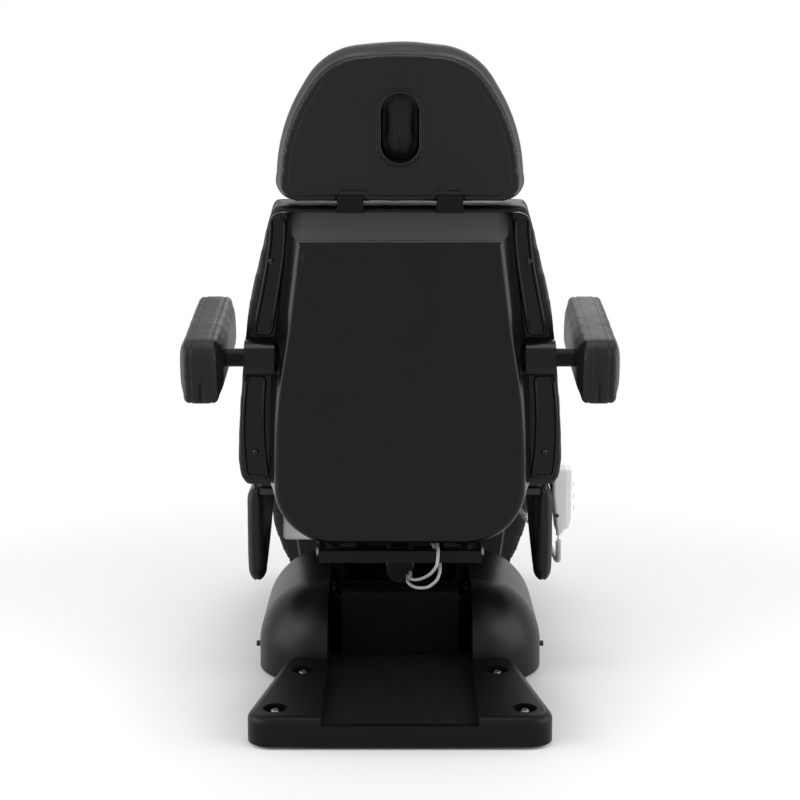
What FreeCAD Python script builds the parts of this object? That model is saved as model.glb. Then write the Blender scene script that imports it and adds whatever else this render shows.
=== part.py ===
import FreeCAD, Part
import math
import os

from FreeCAD import Placement, Rotation, Vector

# Electric beauty chair, in millimetres. +X is to the right seen from behind, +Y is forward, +Z is up.
# Y is counted from the back's hinge while modelling, and each piece is moved to the chair's plan centre
# when it is saved. The back and the leg rest are modelled upright and level, then tilted to rest.

# Whole chair
plan_centre = 380.0
overrun = 1.0
fit = 0.05
seat_gap = 0.3
bend_run_share = 0.45
side_play = 2.0

# Back's hinge and rest angle
hinge_height = 440.0
recline_rest = 12.0
hinge_pin_radius = 8.0
hinge_ear_radius = 14.0

# Knee hinge and rest angle of the leg rest
knee_setback = 575.0
knee_height = 415.0
leg_drop = 52.0

# Base covers
rim_height = 6.0
cover_wall = 5.0
platform_height = 62.0
platform_rear = -165.0
platform_front = 156.0
platform_rear_half = 296.0
platform_front_half = 236.0
platform_corner = 45.0
platform_edge = 16.0
channel_half = 147.0
channel_floor = 46.0
channel_front = 228.0
well_radius = 23.0
well_wall = 4.0
well_depth = 16.0
well_rear_x = 236.0
well_rear_inset = 53.0
well_front_x = 196.0
well_front_inset = 61.0
well_bolt_radius = 9.0
well_bolt_height = 8.0
dome_front = 660.0
dome_half = 300.0
dome_height = 192.0
dome_corner = 146.0
dome_round = 138.0
slot_half = 150.0
slot_front = 520.0
slot_window_half = 45.0
slot_window_top = 115.0
knob_radius = 6.0
knob_length = 9.0
knob_height = 42.0
knob_forward = 12.0

# Base frame
frame_bottom = 12.0
rail_inner = 96.0
rail_outer = 136.0
rail_rear = -140.0
rail_front = 625.0
cross_half = 225.0
cross_depth = 40.0
deck_margin = 16.0
deck_rear = 232.0
deck_front = 640.0
tower_inner = 134.0
tower_thick = 10.0
tower_margin = 22.0
deck_half = tower_inner + tower_thick + deck_margin
foot_radius = 25.0
foot_pad = 6.0
foot_stem_radius = 6.0
foot_x = 200.0

# Guard across the slot
guard_setback = 232.0
guard_cheek = 27.0
guard_flange = 16.0
guard_sheet = 3.0
guard_top = 186.0
guard_roll = 14.0
guard_bolt_radius = 6.0
guard_bolt_head = 4.0
guard_bolt_drop = 26.0

# Lift linkage
arm_base_y = 425.0
arm_base_z = 130.0
arm_top_y = 42.0
arm_top_z = 325.0
link_step_y = 60.0
link_step_z = 60.0
arm_x = 119.0
arm_thick = 12.0
arm_end_radius = 20.0
arm_height = 34.0
link_x = 82.0
link_thick = 12.0
link_end_radius = 18.0
link_height = 30.0
lift_pin_radius = 10.0
bush_wall = 2.0
bush_flange = 3.0
bush_flange_lip = 3.0
torque_tube_radius = 17.0
torque_tube_wall = 5.0
link_tie_radius = 11.0
link_tie_share = 0.3
lift_pin_head = 6.0
base_pin_head = 4.0
lift_pin_head_radius = 15.0

# Carriage and seat frame
side_plate_x = 150.0
side_plate_thick = 8.0
side_plate_front = 208.0
crossbar_rear = 0.0
crossbar_front = 18.0
crossbar_bottom = 311.0
crossbar_top = 334.0
seat_rail_width = 25.0
seat_frame_bottom = 400.0
seat_frame_top = 420.0
seat_rail_rear = 104.0
seat_rail_front = 556.0
seat_cross_half = 276.0
seat_cross_depth = 22.0
seat_cross_places = (330.0, 520.0)
knee_ear_x = 192.0
knee_ear_thick = 8.0

# Seat
seat_board_half = 280.0
seat_board_thick = 12.0
seat_half = 290.0
seat_rear = 106.0
seat_front = 566.0
seat_top = 524.0
seat_crown = 10.0
seat_draw = 6.0
seat_end_round = 26.0

# Side wings under the seat
wing_mid_x = 297.0
wing_half_thick = 18.0
wing_rear = 185.0
wing_front = 530.0
wing_top = 412.0
wing_tip = 210.0
wing_edge_inset = 17.0
wing_near_share = 0.62
wing_near_inset_share = 0.32
wing_corner_shares = ((0.06, 1.0), (0.95, 1.0), (0.97, 0.86), (0.2, 0.045), (0.025, 0.16), (0.0, 0.9))
wing_bend_shares = (None, (1.0, 0.94), (0.6, 0.36), (0.085, 0.0), None, (0.015, 0.975))
wing_strap_width = 40.0
wing_strap_thick = 4.0
wing_strap_rear = 25.0
wing_strap_front = 80.0

# Control box, power inlet and cables
box_inner = 160.0
box_outer = 245.0
box_bottom = 290.0
box_rear = 240.0
box_front = 430.0
box_round = 8.0
box_wall = 3.0
inlet_width = 50.0
inlet_height = 28.0
inlet_depth = 6.0
inlet_recess = 4.0
inlet_lip = 6.0
cable_radius = 3.0

# Actuators: leg in the middle, back to its right, lift in the base
actuator_pin_radius = 6.0
actuator_eye_wall = 6.0
actuator_tube_radius = 18.0
actuator_bore_radius = 12.0
actuator_rod_radius = 10.0
actuator_motor_radius = 28.0
actuator_motor_length = 120.0
actuator_gear_length = 52.0
actuator_gear_half = 24.0
actuator_eye_width = 22.0
actuator_motor_sink = 4.0
actuator_fork_thick = 6.0
actuator_gland = 12.0
leg_actuator_x = 0.0
lift_actuator_x = 0.0
leg_anchor_y = 112.0
leg_anchor_z = 302.0
leg_pin_y = 566.0
leg_pin_z = 364.0
leg_eye_play = 3.2
leg_eye_offset = (0.0, -2.4)
leg_tube_end = 300.0
leg_rod_start = 200.0
back_actuator_x = 56.0
back_anchor_y = 268.0
back_anchor_z = 340.0
back_pin_y = -39.0
back_pin_z = 419.0
back_eye_play = 5.6
back_eye_offset = (1.2, 4.4)
back_tube_end = 205.0
back_rod_start = 150.0
back_motor_radius = 22.0
back_motor_length = 110.0
lift_anchor_y = 617.0
lift_anchor_z = 76.0
lift_pin_y = 422.0
lift_pin_z = 74.0
lift_eye_play = 2.2
lift_eye_offset = (0.5, 1.4)
lift_tube_end = 150.0
lift_rod_start = 100.0
lift_motor_radius = 22.0
lift_motor_length = 60.0

# Handset, its holder and its curly cord
handset_x = 340.0
handset_half_thick = 22.0
handset_half_width = 29.0
handset_bottom = 304.0
handset_top = 440.0
handset_y = 268.0
handset_round = 7.0
handset_split = 6.0
handset_neck_inner = 13.0
handset_neck_outer = 1.0
handset_taper = 385.0
handset_front_low = 312.0
handset_front_slope = 335.0
handset_front_toe = 316.0
handset_toe_inset = 6.0
handset_wall = 2.5
button_radius = 5.0
button_stand = 1.6
button_flange = 1.2
button_rows = 3
button_pitch = 24.0
button_spread = 12.0
button_first_drop = 34.0
holder_thick = 3.0
holder_half_width = 14.0
holder_drop = 22.0
holder_height = seat_frame_top - holder_drop
hook_rise = 12.0
hook_slot_play = 0.4
cord_wire_radius = 1.6
cord_coil_radius = 4.7
cord_pitch = 4.8
cord_lead = 8.0
cord_arc_error = 0.05
cord_stub_shares = (0.0, 0.2, 0.4, 0.6)
socket_radius = 9.0
socket_length = 16.0
socket_x = 246.0
socket_y = 470.0
strain_relief_radius = 5.0
strain_relief_length = 10.0

# Back frame
upright_x = 160.0
upright_width = 26.0
upright_front = -6.0
upright_depth = 24.0
upright_bottom = -14.0
upright_top = 545.0
back_cross_low = 24.0
back_cross_mid = 280.0
back_cross_height = 26.0
back_ear_thick = 8.0

# Back shell: table of (height, flange half-width, bulge foot half-width, bulge face half-width)
shell_wall = 4.0
shell_depth = 75.0
shell_flange_bottom = 39.0
shell_top = 569.0
shell_face_top = 531.0
shell_bottom = -66.0
shell_bottom_corner = 115.0
shell_flange_thick = 4.6
shell_flange_corner = 25.0
shell_edge = 16.0
shell_flange_half = (297.0, 300.0, 292.0, 277.0, 258.0, 238.0)
shell_foot_half = (252.0, 246.0, 242.0, 234.0, 221.0, 205.0)
shell_face_half = (233.0, 230.0, 224.0, 209.0, 196.0, 180.0)
shell_level_shares = (0.0, 0.285, 0.42, 0.59, 0.77, 1.0)
shell_tongue_lip = 30.0
shell_notch_half = 104.0
screw_radius = 6.0
screw_head = 4.0
screw_upper_x = 236.0
screw_upper = 477.0
screw_lower_x = 275.0
screw_lower = 96.0

# Back board and cushion
back_board_thick = 12.0
back_board_half = 218.0
back_board_bottom = 30.0
back_board_top = 566.0
back_pad_bottom = 17.0
back_pad_top = 574.0
back_pad_front = 100.0
back_pad_crown = 6.0
back_pad_draw = 5.0
back_pad_half = (306.0, 314.0, 312.0, 298.0, 287.0, 270.0, 254.0, 236.0)
back_pad_shares = (0.0, 0.075, 0.2, 0.46, 0.63, 0.77, 0.87, 1.0)

# Armrests
arm_rod_radius = 17.0
arm_rod_height = 292.0
arm_rod_back = -8.0
arm_sleeve_wall = 4.0
arm_sleeve_inner = 219.0
arm_sleeve_end = 4.0
arm_stub_radius = 12.0
arm_boss_inner = 232.0
arm_sleeve_outer = 288.0
arm_boss_radius = 34.0
armrest_inner = 331.0
armrest_outer = 396.0
armrest_height = 118.0
armrest_drop = 4.0
armrest_rear = -92.0
armrest_front = 218.0
armrest_crown = 4.0
armrest_end = 11.0
armrest_station_shares = (0.0, 0.03, 0.11, 0.5, 0.89, 0.97, 1.0)
armrest_end_shares = (1.0, 0.3, 0.0, 0.0, 0.0, 0.3, 1.0)
armrest_bore_depth = 40.0

# Headrest
head_bottom = 578.0
head_top = 866.0
head_half = 226.0
head_back = -4.0
head_board_thick = 12.0
head_board_inset = 12.0
head_front = 92.0
head_corner_shares = ((0.875, 0.0), (0.978, 0.05), (1.0, 0.17))
head_side_shares = ((1.0, 0.17), (0.92, 0.5), (0.76, 0.755))
head_shoulder_shares = ((0.76, 0.755), (0.58, 0.912), (0.32, 0.985))
head_station_shares = (0.0, 0.35, 0.7, 0.92, 1.0)
head_station_insets = (9.0, 5.0, 0.0, 6.7, 20.0)
hole_half_width = 36.0
hole_height = 133.0
hole_centre = 724.0
plug_gap = 0.4
plug_back = 24.0
plug_front = 90.0
plug_crown = 5.0
post_x = 90.0
post_half_width = 24.0
post_thick = 4.2
post_bottom = 440.0
post_in_head = 60.0
post_guide_wall = 7.0
post_guide_bottom = 492.0
post_guide_height = 48.0
post_slot_play = 1.5

# Leg rest
leg_half = (316.0, 312.0, 286.0)
leg_half_shares = (0.0, 0.72, 1.0)
leg_start = 6.0
leg_length = 480.0
leg_bar_width = 22.0
leg_bar_end = 395.0
leg_bar_height = 18.0
leg_board_thick = 12.0
leg_top = 108.0
leg_crown = 7.0
leg_draw = 5.0
leg_shell_depth = 34.0
leg_shell_start = 50.0
leg_shell_end = 462.0
leg_shell_inset = 14.0
leg_panel_knee = 258.0
leg_panel_foot = 241.0
leg_panel_end = 400.0
leg_notch_half = 42.0
leg_notch_end = 110.0
leg_cross_places = (60.0, 370.0)


# Basic solids

def block(x0, x1, y0, y1, z0, z1):
    """A box between two corners."""
    return Part.makeBox(x1 - x0, y1 - y0, z1 - z0, Vector(x0, y0, z0))


def round_x(radius, x0, x1, y, z):
    """A round bar along X."""
    return Part.makeCylinder(radius, x1 - x0, Vector(x0, y, z), Vector(1, 0, 0))


def round_y(radius, y0, y1, x, z):
    """A round bar along Y."""
    return Part.makeCylinder(radius, y1 - y0, Vector(x, y0, z), Vector(0, 1, 0))


def round_z(radius, z0, z1, x, y):
    """A round bar along Z."""
    return Part.makeCylinder(radius, z1 - z0, Vector(x, y, z0), Vector(0, 0, 1))


def plate_x(points, x0, x1):
    """A plate of a side outline, given as (y, z) points, between two X planes."""
    corners = [Vector(x0, y, z) for y, z in points]
    face = Part.Face(Part.makePolygon(corners + corners[:1]))
    return face.extrude(Vector(x1 - x0, 0, 0))


def bar_x(start, end, height, end_radius, x0, x1):
    """A flat bar with round ends between two pivots, given as (y, z), in the side view."""
    dy, dz = end[0] - start[0], end[1] - start[1]
    length = math.hypot(dy, dz)
    ny, nz = -dz / length * height / 2, dy / length * height / 2
    web = [
        (start[0] + ny, start[1] + nz),
        (end[0] + ny, end[1] + nz),
        (end[0] - ny, end[1] - nz),
        (start[0] - ny, start[1] - nz),
    ]
    eyes = [round_x(end_radius, x0, x1, *start), round_x(end_radius, x0, x1, *end)]
    return plate_x(web, x0, x1).fuse(eyes).removeSplitter()


def mirrored(shape):
    """The same shape on the other side of the chair."""
    return shape.mirror(Vector(0, 0, 0), Vector(1, 0, 0))


def pair(shape):
    """A shape and its mirror image."""
    return [shape, mirrored(shape)]


def in_back(shape):
    """Moves a shape from the upright back's own frame to its rest angle."""
    placed = shape.copy()
    tilt = Placement(Vector(0, 0, hinge_height), Rotation(Vector(1, 0, 0), recline_rest))
    placed.transformShape(tilt.toMatrix())
    return placed


def in_leg(shape):
    """Moves a shape from the level leg rest's own frame to its rest angle."""
    placed = shape.copy()
    tilt = Placement(Vector(0, knee_setback, knee_height), Rotation(Vector(1, 0, 0), -leg_drop))
    placed.transformShape(tilt.toMatrix())
    return placed


def save(name, solids):
    """Writes one node, moved to the chair's plan centre."""
    group = Part.makeCompound(solids) if len(solids) > 1 else solids[0].copy()
    group.translate(Vector(0, -plan_centre, 0))
    group.exportStep(f"parts/{name}.step")
    volumes = [solid.Volume for solid in group.Solids]
    valid = "valid" if group.isValid() else "NOT VALID"
    print(f"{name}: {len(volumes)} solids, {sum(volumes) / 1000:.1f} cm3, {valid}")


# Soft forms

pad_end_steps = 3
pad_middle_shares = (0.14, 0.3, 0.5, 0.7, 0.86)


def pad_section(half, back, front, crown, draw, level):
    """A cushion's closed section across its length: flat back, drawn-in sides and a crowned face.

    The section lies at one level of the third axis, with X across and Y through the thickness.
    """
    middle = (back + front) / 2
    corners = [Vector(-half, back, level), Vector(half, back, level)]
    corners += [Vector(half, front, level), Vector(-half, front, level)]
    right = Part.Arc(corners[1], Vector(half - draw, middle, level), corners[2]).toShape()
    face = Part.Arc(corners[2], Vector(0, front + crown, level), corners[3]).toShape()
    left = Part.Arc(corners[3], Vector(draw - half, middle, level), corners[0]).toShape()
    return Part.Wire([Part.LineSegment(corners[0], corners[1]).toShape(), right, face, left])


def pad_loft(sections):
    """A cushion lofted through its sections."""
    return Part.makeLoft(sections, True, False)


def pad_stations(start, end, end_round):
    """Places along a cushion and how far its face drops there: rounded ends and an even middle."""
    ends = []
    for step in range(pad_end_steps + 1):
        angle = math.pi / 2 * step / pad_end_steps
        ends.append((end_round * (1 - math.cos(angle)), end_round * (1 - math.sin(angle))))
    middle = [(start + (end - start) * share, 0) for share in pad_middle_shares]
    near = [(start + along_pad, drop) for along_pad, drop in ends]
    far = [(end - along_pad, drop) for along_pad, drop in reversed(ends)]
    return near + middle + far


def half_at(place_share, shares, halves):
    """A half-width read from a table of shares of a length."""
    for low, high, first, second in zip(shares, shares[1:], halves, halves[1:]):
        if place_share <= high:
            return first + (second - first) * (place_share - low) / (high - low)
    return halves[-1]


def stadium(half_width, height, centre, y0, y1):
    """An upright stadium-shaped block, in the back's frame."""
    low = centre - height / 2 + half_width
    high = centre + height / 2 - half_width
    core = block(-half_width, half_width, y0, y1, low, high)
    ends = [round_y(half_width, y0, y1, 0, low), round_y(half_width, y0, y1, 0, high)]
    return core.fuse(ends).removeSplitter()


# Base

def plan_block(rear, front, rear_half, front_half, z0, z1, corner, front_round):
    """An upright block of a plan outline with rounded corners."""
    points = [(-rear_half, rear), (rear_half, rear), (front_half, front), (-front_half, front)]
    ring = [Vector(x, y, z0) for x, y in points + points[:1]]
    solid = Part.Face(Part.makePolygon(ring)).extrude(Vector(0, 0, z1 - z0))
    middle = (rear + front) / 2
    upright = [
        edge for edge in solid.Edges
        if abs(edge.tangentAt(edge.FirstParameter).z) > 0.5
        and (front_round or edge.CenterOfMass.y < middle)
    ]
    return solid.makeFillet(corner, upright)


def top_edges(solid, z):
    """The edges of a block that lie at one height."""
    return [edge for edge in solid.Edges if abs(edge.BoundBox.ZMin - z) < fit and abs(edge.BoundBox.ZMax - z) < fit]


def well_places():
    """Plan places of the four bolt wells in the rear platform."""
    rear = platform_rear + well_rear_inset
    front = platform_front - well_front_inset
    return [(-well_rear_x, rear), (well_rear_x, rear), (-well_front_x, front), (well_front_x, front)]


def base_rear_cover():
    """Moulded platform with a sunk channel down its middle and four bolt wells."""
    body = plan_block(platform_rear, platform_front, platform_rear_half, platform_front_half,
                      rim_height, platform_height, platform_corner, False)
    rim = [edge for edge in top_edges(body, platform_height) if edge.CenterOfMass.y < platform_front - overrun]
    body = body.makeFillet(platform_edge, rim)
    hollow = plan_block(platform_rear + cover_wall, platform_front + overrun,
                        platform_rear_half - cover_wall, platform_front_half - cover_wall,
                        rim_height - overrun, platform_height - cover_wall, platform_corner - cover_wall, False)
    trough = block(-channel_half - cover_wall, channel_half + cover_wall, platform_rear, platform_front + 2 * overrun,
                   channel_floor - cover_wall, platform_height)
    body = body.cut(hollow.cut(trough))
    wells = [round_z(well_radius + well_wall, platform_height - well_depth - well_wall,
                     platform_height - platform_edge / 4, x, y) for x, y in well_places()]
    body = body.fuse(wells)
    body = body.cut([round_z(well_radius, platform_height - well_depth, platform_height + overrun, x, y)
                     for x, y in well_places()])
    channel = block(-channel_half, channel_half, platform_rear - overrun, platform_front + overrun,
                    channel_floor, platform_height + overrun)
    tongue = block(-channel_half, channel_half, platform_front - cover_wall, channel_front,
                   channel_floor - cover_wall, channel_floor)
    return body.cut(channel).fuse(tongue).removeSplitter()


def base_dome_cover():
    """Moulded dome over the lift's foot, slotted at the rear and the top for the arms."""
    outer = plan_block(platform_front, dome_front, dome_half, dome_half,
                       rim_height, dome_height, dome_corner, True)
    outer = outer.makeFillet(dome_round, top_edges(outer, dome_height))
    inner = plan_block(platform_front + cover_wall, dome_front - cover_wall,
                       dome_half - cover_wall, dome_half - cover_wall,
                       rim_height - overrun, dome_height - cover_wall, dome_corner - cover_wall, True)
    inner = inner.makeFillet(dome_round - cover_wall, top_edges(inner, dome_height - cover_wall))
    walled = slot_half + cover_wall
    liner = block(-walled, walled, platform_front - overrun, slot_front + cover_wall, channel_floor, dome_height)
    slot = block(-slot_half, slot_half, platform_front - overrun, slot_front, 0, dome_height + overrun)
    under = block(-walled - overrun, walled + overrun, platform_front - overrun, deck_front + overrun,
                  0, channel_floor)
    window = block(-slot_window_half, slot_window_half, slot_front - overrun, slot_front + cover_wall + overrun,
                   channel_floor - overrun, slot_window_top)
    return outer.cut(inner.cut(liner)).cut([slot, under, window]).removeSplitter()


def base_frame():
    """Welded frame: two rails, cross members, a deck and the towers that carry the lift's pivots."""
    top = channel_floor - cover_wall
    rail = block(rail_inner, rail_outer, rail_rear, rail_front, frame_bottom, top)
    crosses = [block(-cross_half, cross_half, y, y + cross_depth, frame_bottom, top)
               for y in (rail_rear, deck_rear, rail_front - cross_depth)]
    deck = block(-deck_half, deck_half, deck_rear, deck_front, top, channel_floor)
    base_link_y = arm_base_y + link_step_y
    base_link_z = arm_base_z + link_step_z
    side = [
        (arm_base_y - tower_margin, channel_floor),
        (base_link_y + tower_margin, channel_floor),
        (base_link_y + tower_margin, base_link_z),
        (base_link_y, base_link_z + tower_margin),
        (arm_base_y - tower_margin, arm_base_z + tower_margin / 2),
    ]
    tower = plate_x(side, tower_inner, tower_inner + tower_thick)
    half = actuator_eye_wall * 2
    cheek = [
        (lift_anchor_y - half, channel_floor),
        (lift_anchor_y + half, channel_floor),
        (lift_anchor_y + half, lift_anchor_z + half),
        (lift_anchor_y - half, lift_anchor_z + half),
    ]
    cheeks = fork(cheek, lift_actuator_x)
    frame = rail.fuse([mirrored(rail), deck] + crosses + pair(tower) + cheeks).removeSplitter()
    pins = [round_x(lift_pin_radius, -deck_half, deck_half, arm_base_y, arm_base_z),
            round_x(lift_pin_radius, -deck_half, deck_half, base_link_y, base_link_z),
            round_x(actuator_pin_radius, -deck_half, deck_half, lift_anchor_y, lift_anchor_z)]
    return frame.cut(pins)


def stub_pins(y, z, inner, outer, head):
    """Headed pivot pins on both sides of the chair."""
    pin = round_x(lift_pin_radius, inner, outer, y, z)
    return pair(pin.fuse(round_x(lift_pin_head_radius, outer, outer + head, y, z)).removeSplitter())


def levelling_feet():
    """Four levelling feet, screwed up into the frame's end cross members."""
    feet = []
    for y in (rail_rear + cross_depth / 2, rail_front - cross_depth / 2):
        for x in (-foot_x, foot_x):
            pad = round_z(foot_radius, 0, foot_pad, x, y)
            feet.append(pad.fuse(round_z(foot_stem_radius, 0, frame_bottom, x, y)).removeSplitter())
    return feet


def guard_outline(inset):
    """Plan of the guard's sheet: flat middle, slanted cheeks and flanges along the slot's walls."""
    flat = slot_half - guard_cheek
    rear = guard_setback + inset
    bend = guard_setback + guard_cheek + inset / 2
    end = guard_setback + guard_cheek + guard_flange
    half = slot_half - inset
    return [(-half, end), (-half, bend), (-flat + inset / 2, rear), (flat - inset / 2, rear), (half, bend), (half, end)]


def mechanism_guard():
    """Bent sheet across the slot, with slanted cheeks and a rolled top edge."""
    outside = [Vector(x, y, channel_floor) for x, y in guard_outline(0)]
    inside = [Vector(x, y, channel_floor) for x, y in reversed(guard_outline(guard_sheet))]
    sheet = Part.Face(Part.makePolygon(outside + inside + outside[:1]))
    sheet = sheet.extrude(Vector(0, 0, guard_top - guard_roll - channel_floor))
    flat = slot_half - guard_cheek
    roll_y = guard_setback + guard_roll
    roll_z = guard_top - guard_roll
    roll = round_x(guard_roll, -flat, flat, roll_y, roll_z)
    roll = roll.cut(round_x(guard_roll - guard_sheet, -slot_half, slot_half, roll_y, roll_z))
    roll = roll.common(block(-slot_half, slot_half, guard_setback, roll_y + guard_roll, roll_z, guard_top + overrun))
    return sheet.fuse(roll).removeSplitter()


def guard_bolts():
    """Bolts that hold the guard's flanges to the dome's slot walls."""
    y = guard_setback + guard_cheek + guard_flange / 2
    z = guard_top - guard_bolt_drop
    inner = slot_half - guard_sheet
    return pair(round_x(guard_bolt_radius, inner - guard_bolt_head, inner, y, z))


# Actuators

def along(start, end, x):
    """The place of an actuator: its rear pivot at the origin and its axis along +Y."""
    angle = math.degrees(math.atan2(end[1] - start[1], end[0] - start[0]))
    return Placement(Vector(x, start[0], start[1]), Rotation(Vector(1, 0, 0), angle))


def place(shape, placement):
    """A copy of a shape at a placement."""
    moved = shape.copy()
    moved.transformShape(placement.toMatrix())
    return moved


def actuator_housing(start, end, x, tube_end, motor_side, motor_radius, motor_length):
    """Rear eye, gearbox, motor and outer tube of a linear actuator, bored for its rod."""
    half = actuator_eye_width / 2
    eye_radius = actuator_pin_radius + actuator_eye_wall
    neck = block(-half, half, 0, actuator_gear_half, -eye_radius, eye_radius)
    eye = round_x(eye_radius, -half, half, 0, 0)
    gear_start = eye_radius + actuator_eye_wall
    gear_end = gear_start + actuator_gear_length
    motor_z = motor_side * (actuator_gear_half + motor_radius - actuator_motor_sink)
    low = min(-actuator_gear_half, motor_z)
    high = max(actuator_gear_half, motor_z)
    gearbox = block(-actuator_gear_half, actuator_gear_half, gear_start, gear_end, low, high)
    crown = round_y(actuator_gear_half, gear_start, gear_end, 0, motor_z)
    tube = round_y(actuator_tube_radius, gear_end, tube_end, 0, 0)
    motor = round_y(motor_radius, gear_start, gear_start + motor_length, 0, motor_z)
    body = neck.fuse([eye, gearbox, crown, tube, motor]).removeSplitter()
    bore = round_y(actuator_bore_radius, gear_end, tube_end + overrun, 0, 0)
    gland = round_y(actuator_rod_radius + fit, tube_end - actuator_gland, tube_end + overrun, 0, 0)
    ring = round_y(actuator_tube_radius - overrun, tube_end - actuator_gland, tube_end, 0, 0).cut(gland)
    body = body.cut([bore, round_x(actuator_pin_radius + fit, -half - overrun, half + overrun, 0, 0)])
    return place(body.fuse(ring).removeSplitter(), along(start, end, x))


def actuator_rod(start, end, x, rod_start, play, offset):
    """Sliding rod with the wide eye that takes the driven pin with play."""
    half = actuator_eye_width / 2
    length = math.hypot(end[0] - start[0], end[1] - start[1])
    hole = actuator_pin_radius + play
    rod = round_y(actuator_rod_radius, rod_start, length - hole, 0, 0)
    eye = round_x(hole + actuator_eye_wall, -half, half, length + offset[0], offset[1])
    rod = rod.fuse(eye).cut(round_x(hole, -half - overrun, half + overrun, length + offset[0], offset[1]))
    return place(rod.removeSplitter(), along(start, end, x))


def pin_x(y, z, x, half):
    """A clevis pin across an actuator's fork."""
    return round_x(actuator_pin_radius, x - half, x + half, y, z)


fork_inner = actuator_eye_width / 2 + seat_gap
fork_outer = fork_inner + actuator_fork_thick


def fork(points, x):
    """Two cheeks of one side outline, on both sides of an actuator's eye."""
    return [plate_x(points, x + fork_inner, x + fork_outer), plate_x(points, x - fork_outer, x - fork_inner)]


# Lift

arm_base = (arm_base_y, arm_base_z)
arm_top = (arm_top_y, arm_top_z)
link_base = (arm_base_y + link_step_y, arm_base_z + link_step_z)
link_top = (arm_top_y + link_step_y, arm_top_z + link_step_z)
bush_radius = lift_pin_radius + bush_wall


def lift_arm():
    """Two side bars on a torque tube, with the lever that the lift's actuator pushes."""
    bar = bar_x(arm_base, arm_top, arm_height, arm_end_radius, arm_x, arm_x + arm_thick)
    tube = round_x(torque_tube_radius, -arm_x, arm_x, *arm_base)
    tube = tube.cut(round_x(torque_tube_radius - torque_tube_wall, -arm_x - overrun, arm_x + overrun, *arm_base))
    lever = [
        (arm_base_y - torque_tube_radius, arm_base_z - torque_tube_wall),
        (lift_pin_y - actuator_eye_wall * 2, lift_pin_z - actuator_eye_wall * 2),
        (lift_pin_y + actuator_eye_wall * 2, lift_pin_z - actuator_eye_wall * 2),
        (arm_base_y + torque_tube_radius, arm_base_z - torque_tube_wall),
    ]
    cheeks = fork(lever, 0)
    inside = round_x(torque_tube_radius - overrun, -arm_x, arm_x, *arm_base)
    cheeks = [cheek.cut(inside) for cheek in cheeks]
    arm = bar.fuse([mirrored(bar), tube] + cheeks).removeSplitter()
    holes = [round_x(bush_radius, -deck_half, -arm_x + overrun, y, z) for y, z in (arm_base, arm_top)]
    holes += [mirrored(hole) for hole in holes]
    return arm.cut(holes).fuse(pin_x(lift_pin_y, lift_pin_z, lift_actuator_x, fork_outer)).removeSplitter()


def lift_links():
    """Two upper links tied by a cross tube, which keep the carriage level."""
    bar = bar_x(link_base, link_top, link_height, link_end_radius, link_x, link_x + link_thick)
    tie_y = link_base[0] + (link_top[0] - link_base[0]) * link_tie_share
    tie_z = link_base[1] + (link_top[1] - link_base[1]) * link_tie_share
    tie = round_x(link_tie_radius, -link_x, link_x, tie_y, tie_z)
    links = bar.fuse([mirrored(bar), tie]).removeSplitter()
    holes = [round_x(bush_radius, link_x - overrun, deck_half, y, z) for y, z in (link_base, link_top)]
    return links.cut(holes + [mirrored(hole) for hole in holes])


def bushes(places, inner, thick):
    """Flanged plain bushes in a bar's two eyes, on both sides."""
    rings = []
    for y, z in places:
        sleeve = round_x(bush_radius, inner, inner + thick, y, z)
        flange = round_x(bush_radius + bush_flange_lip, inner + thick, inner + thick + bush_flange, y, z)
        ring = sleeve.fuse(flange).cut(round_x(lift_pin_radius + fit, inner - overrun, deck_half, y, z))
        rings += pair(ring.removeSplitter())
    return rings


# Carriage and seat

def lift_carriage():
    """Two side plates and a crossbar that carry the seat, the back's hinge and two actuators."""
    outline = [
        (crossbar_rear - overrun, crossbar_bottom - overrun),
        (arm_top_y + arm_end_radius, crossbar_bottom - overrun),
        (link_top[0] + link_end_radius * 1.5, link_top[1] - link_end_radius),
        (link_top[0] + link_end_radius * 2.5, seat_frame_bottom),
        (side_plate_front, seat_frame_bottom),
        (side_plate_front, seat_frame_top),
        (seat_rail_rear, seat_frame_top),
        (hinge_ear_radius, hinge_height + hinge_pin_radius),
        (0, hinge_height + hinge_ear_radius),
        (-hinge_ear_radius, hinge_height),
        (0, hinge_height - hinge_ear_radius),
        (seat_rail_rear - hinge_pin_radius, seat_frame_bottom),
        (link_top[0] - link_end_radius * 1.5, link_top[1] - link_end_radius),
        (arm_top_y + hinge_pin_radius, crossbar_top + hinge_pin_radius),
        (crossbar_rear - overrun, crossbar_top),
    ]
    plate = plate_x(outline, side_plate_x, side_plate_x + side_plate_thick)
    crossbar = block(-side_plate_x, side_plate_x, crossbar_rear, crossbar_front, crossbar_bottom, crossbar_top)
    leg_cheek = [
        (crossbar_front, crossbar_bottom),
        (leg_anchor_y + actuator_eye_wall * 2, leg_anchor_z - actuator_eye_wall * 2),
        (leg_anchor_y + actuator_eye_wall * 2, leg_anchor_z + actuator_eye_wall * 2),
        (crossbar_front, crossbar_top),
    ]
    solids = pair(plate) + [crossbar] + fork(leg_cheek, leg_actuator_x)
    carriage = solids[0].fuse(solids[1:]).removeSplitter()
    holes = [round_x(lift_pin_radius, -deck_half, deck_half, y, z) for y, z in (arm_top, link_top)]
    holes.append(round_x(hinge_pin_radius, -deck_half * 2, deck_half * 2, 0, hinge_height))
    holes.append(pin_x(leg_anchor_y, leg_anchor_z, leg_actuator_x, fork_outer + overrun))
    return carriage.cut(holes)


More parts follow.
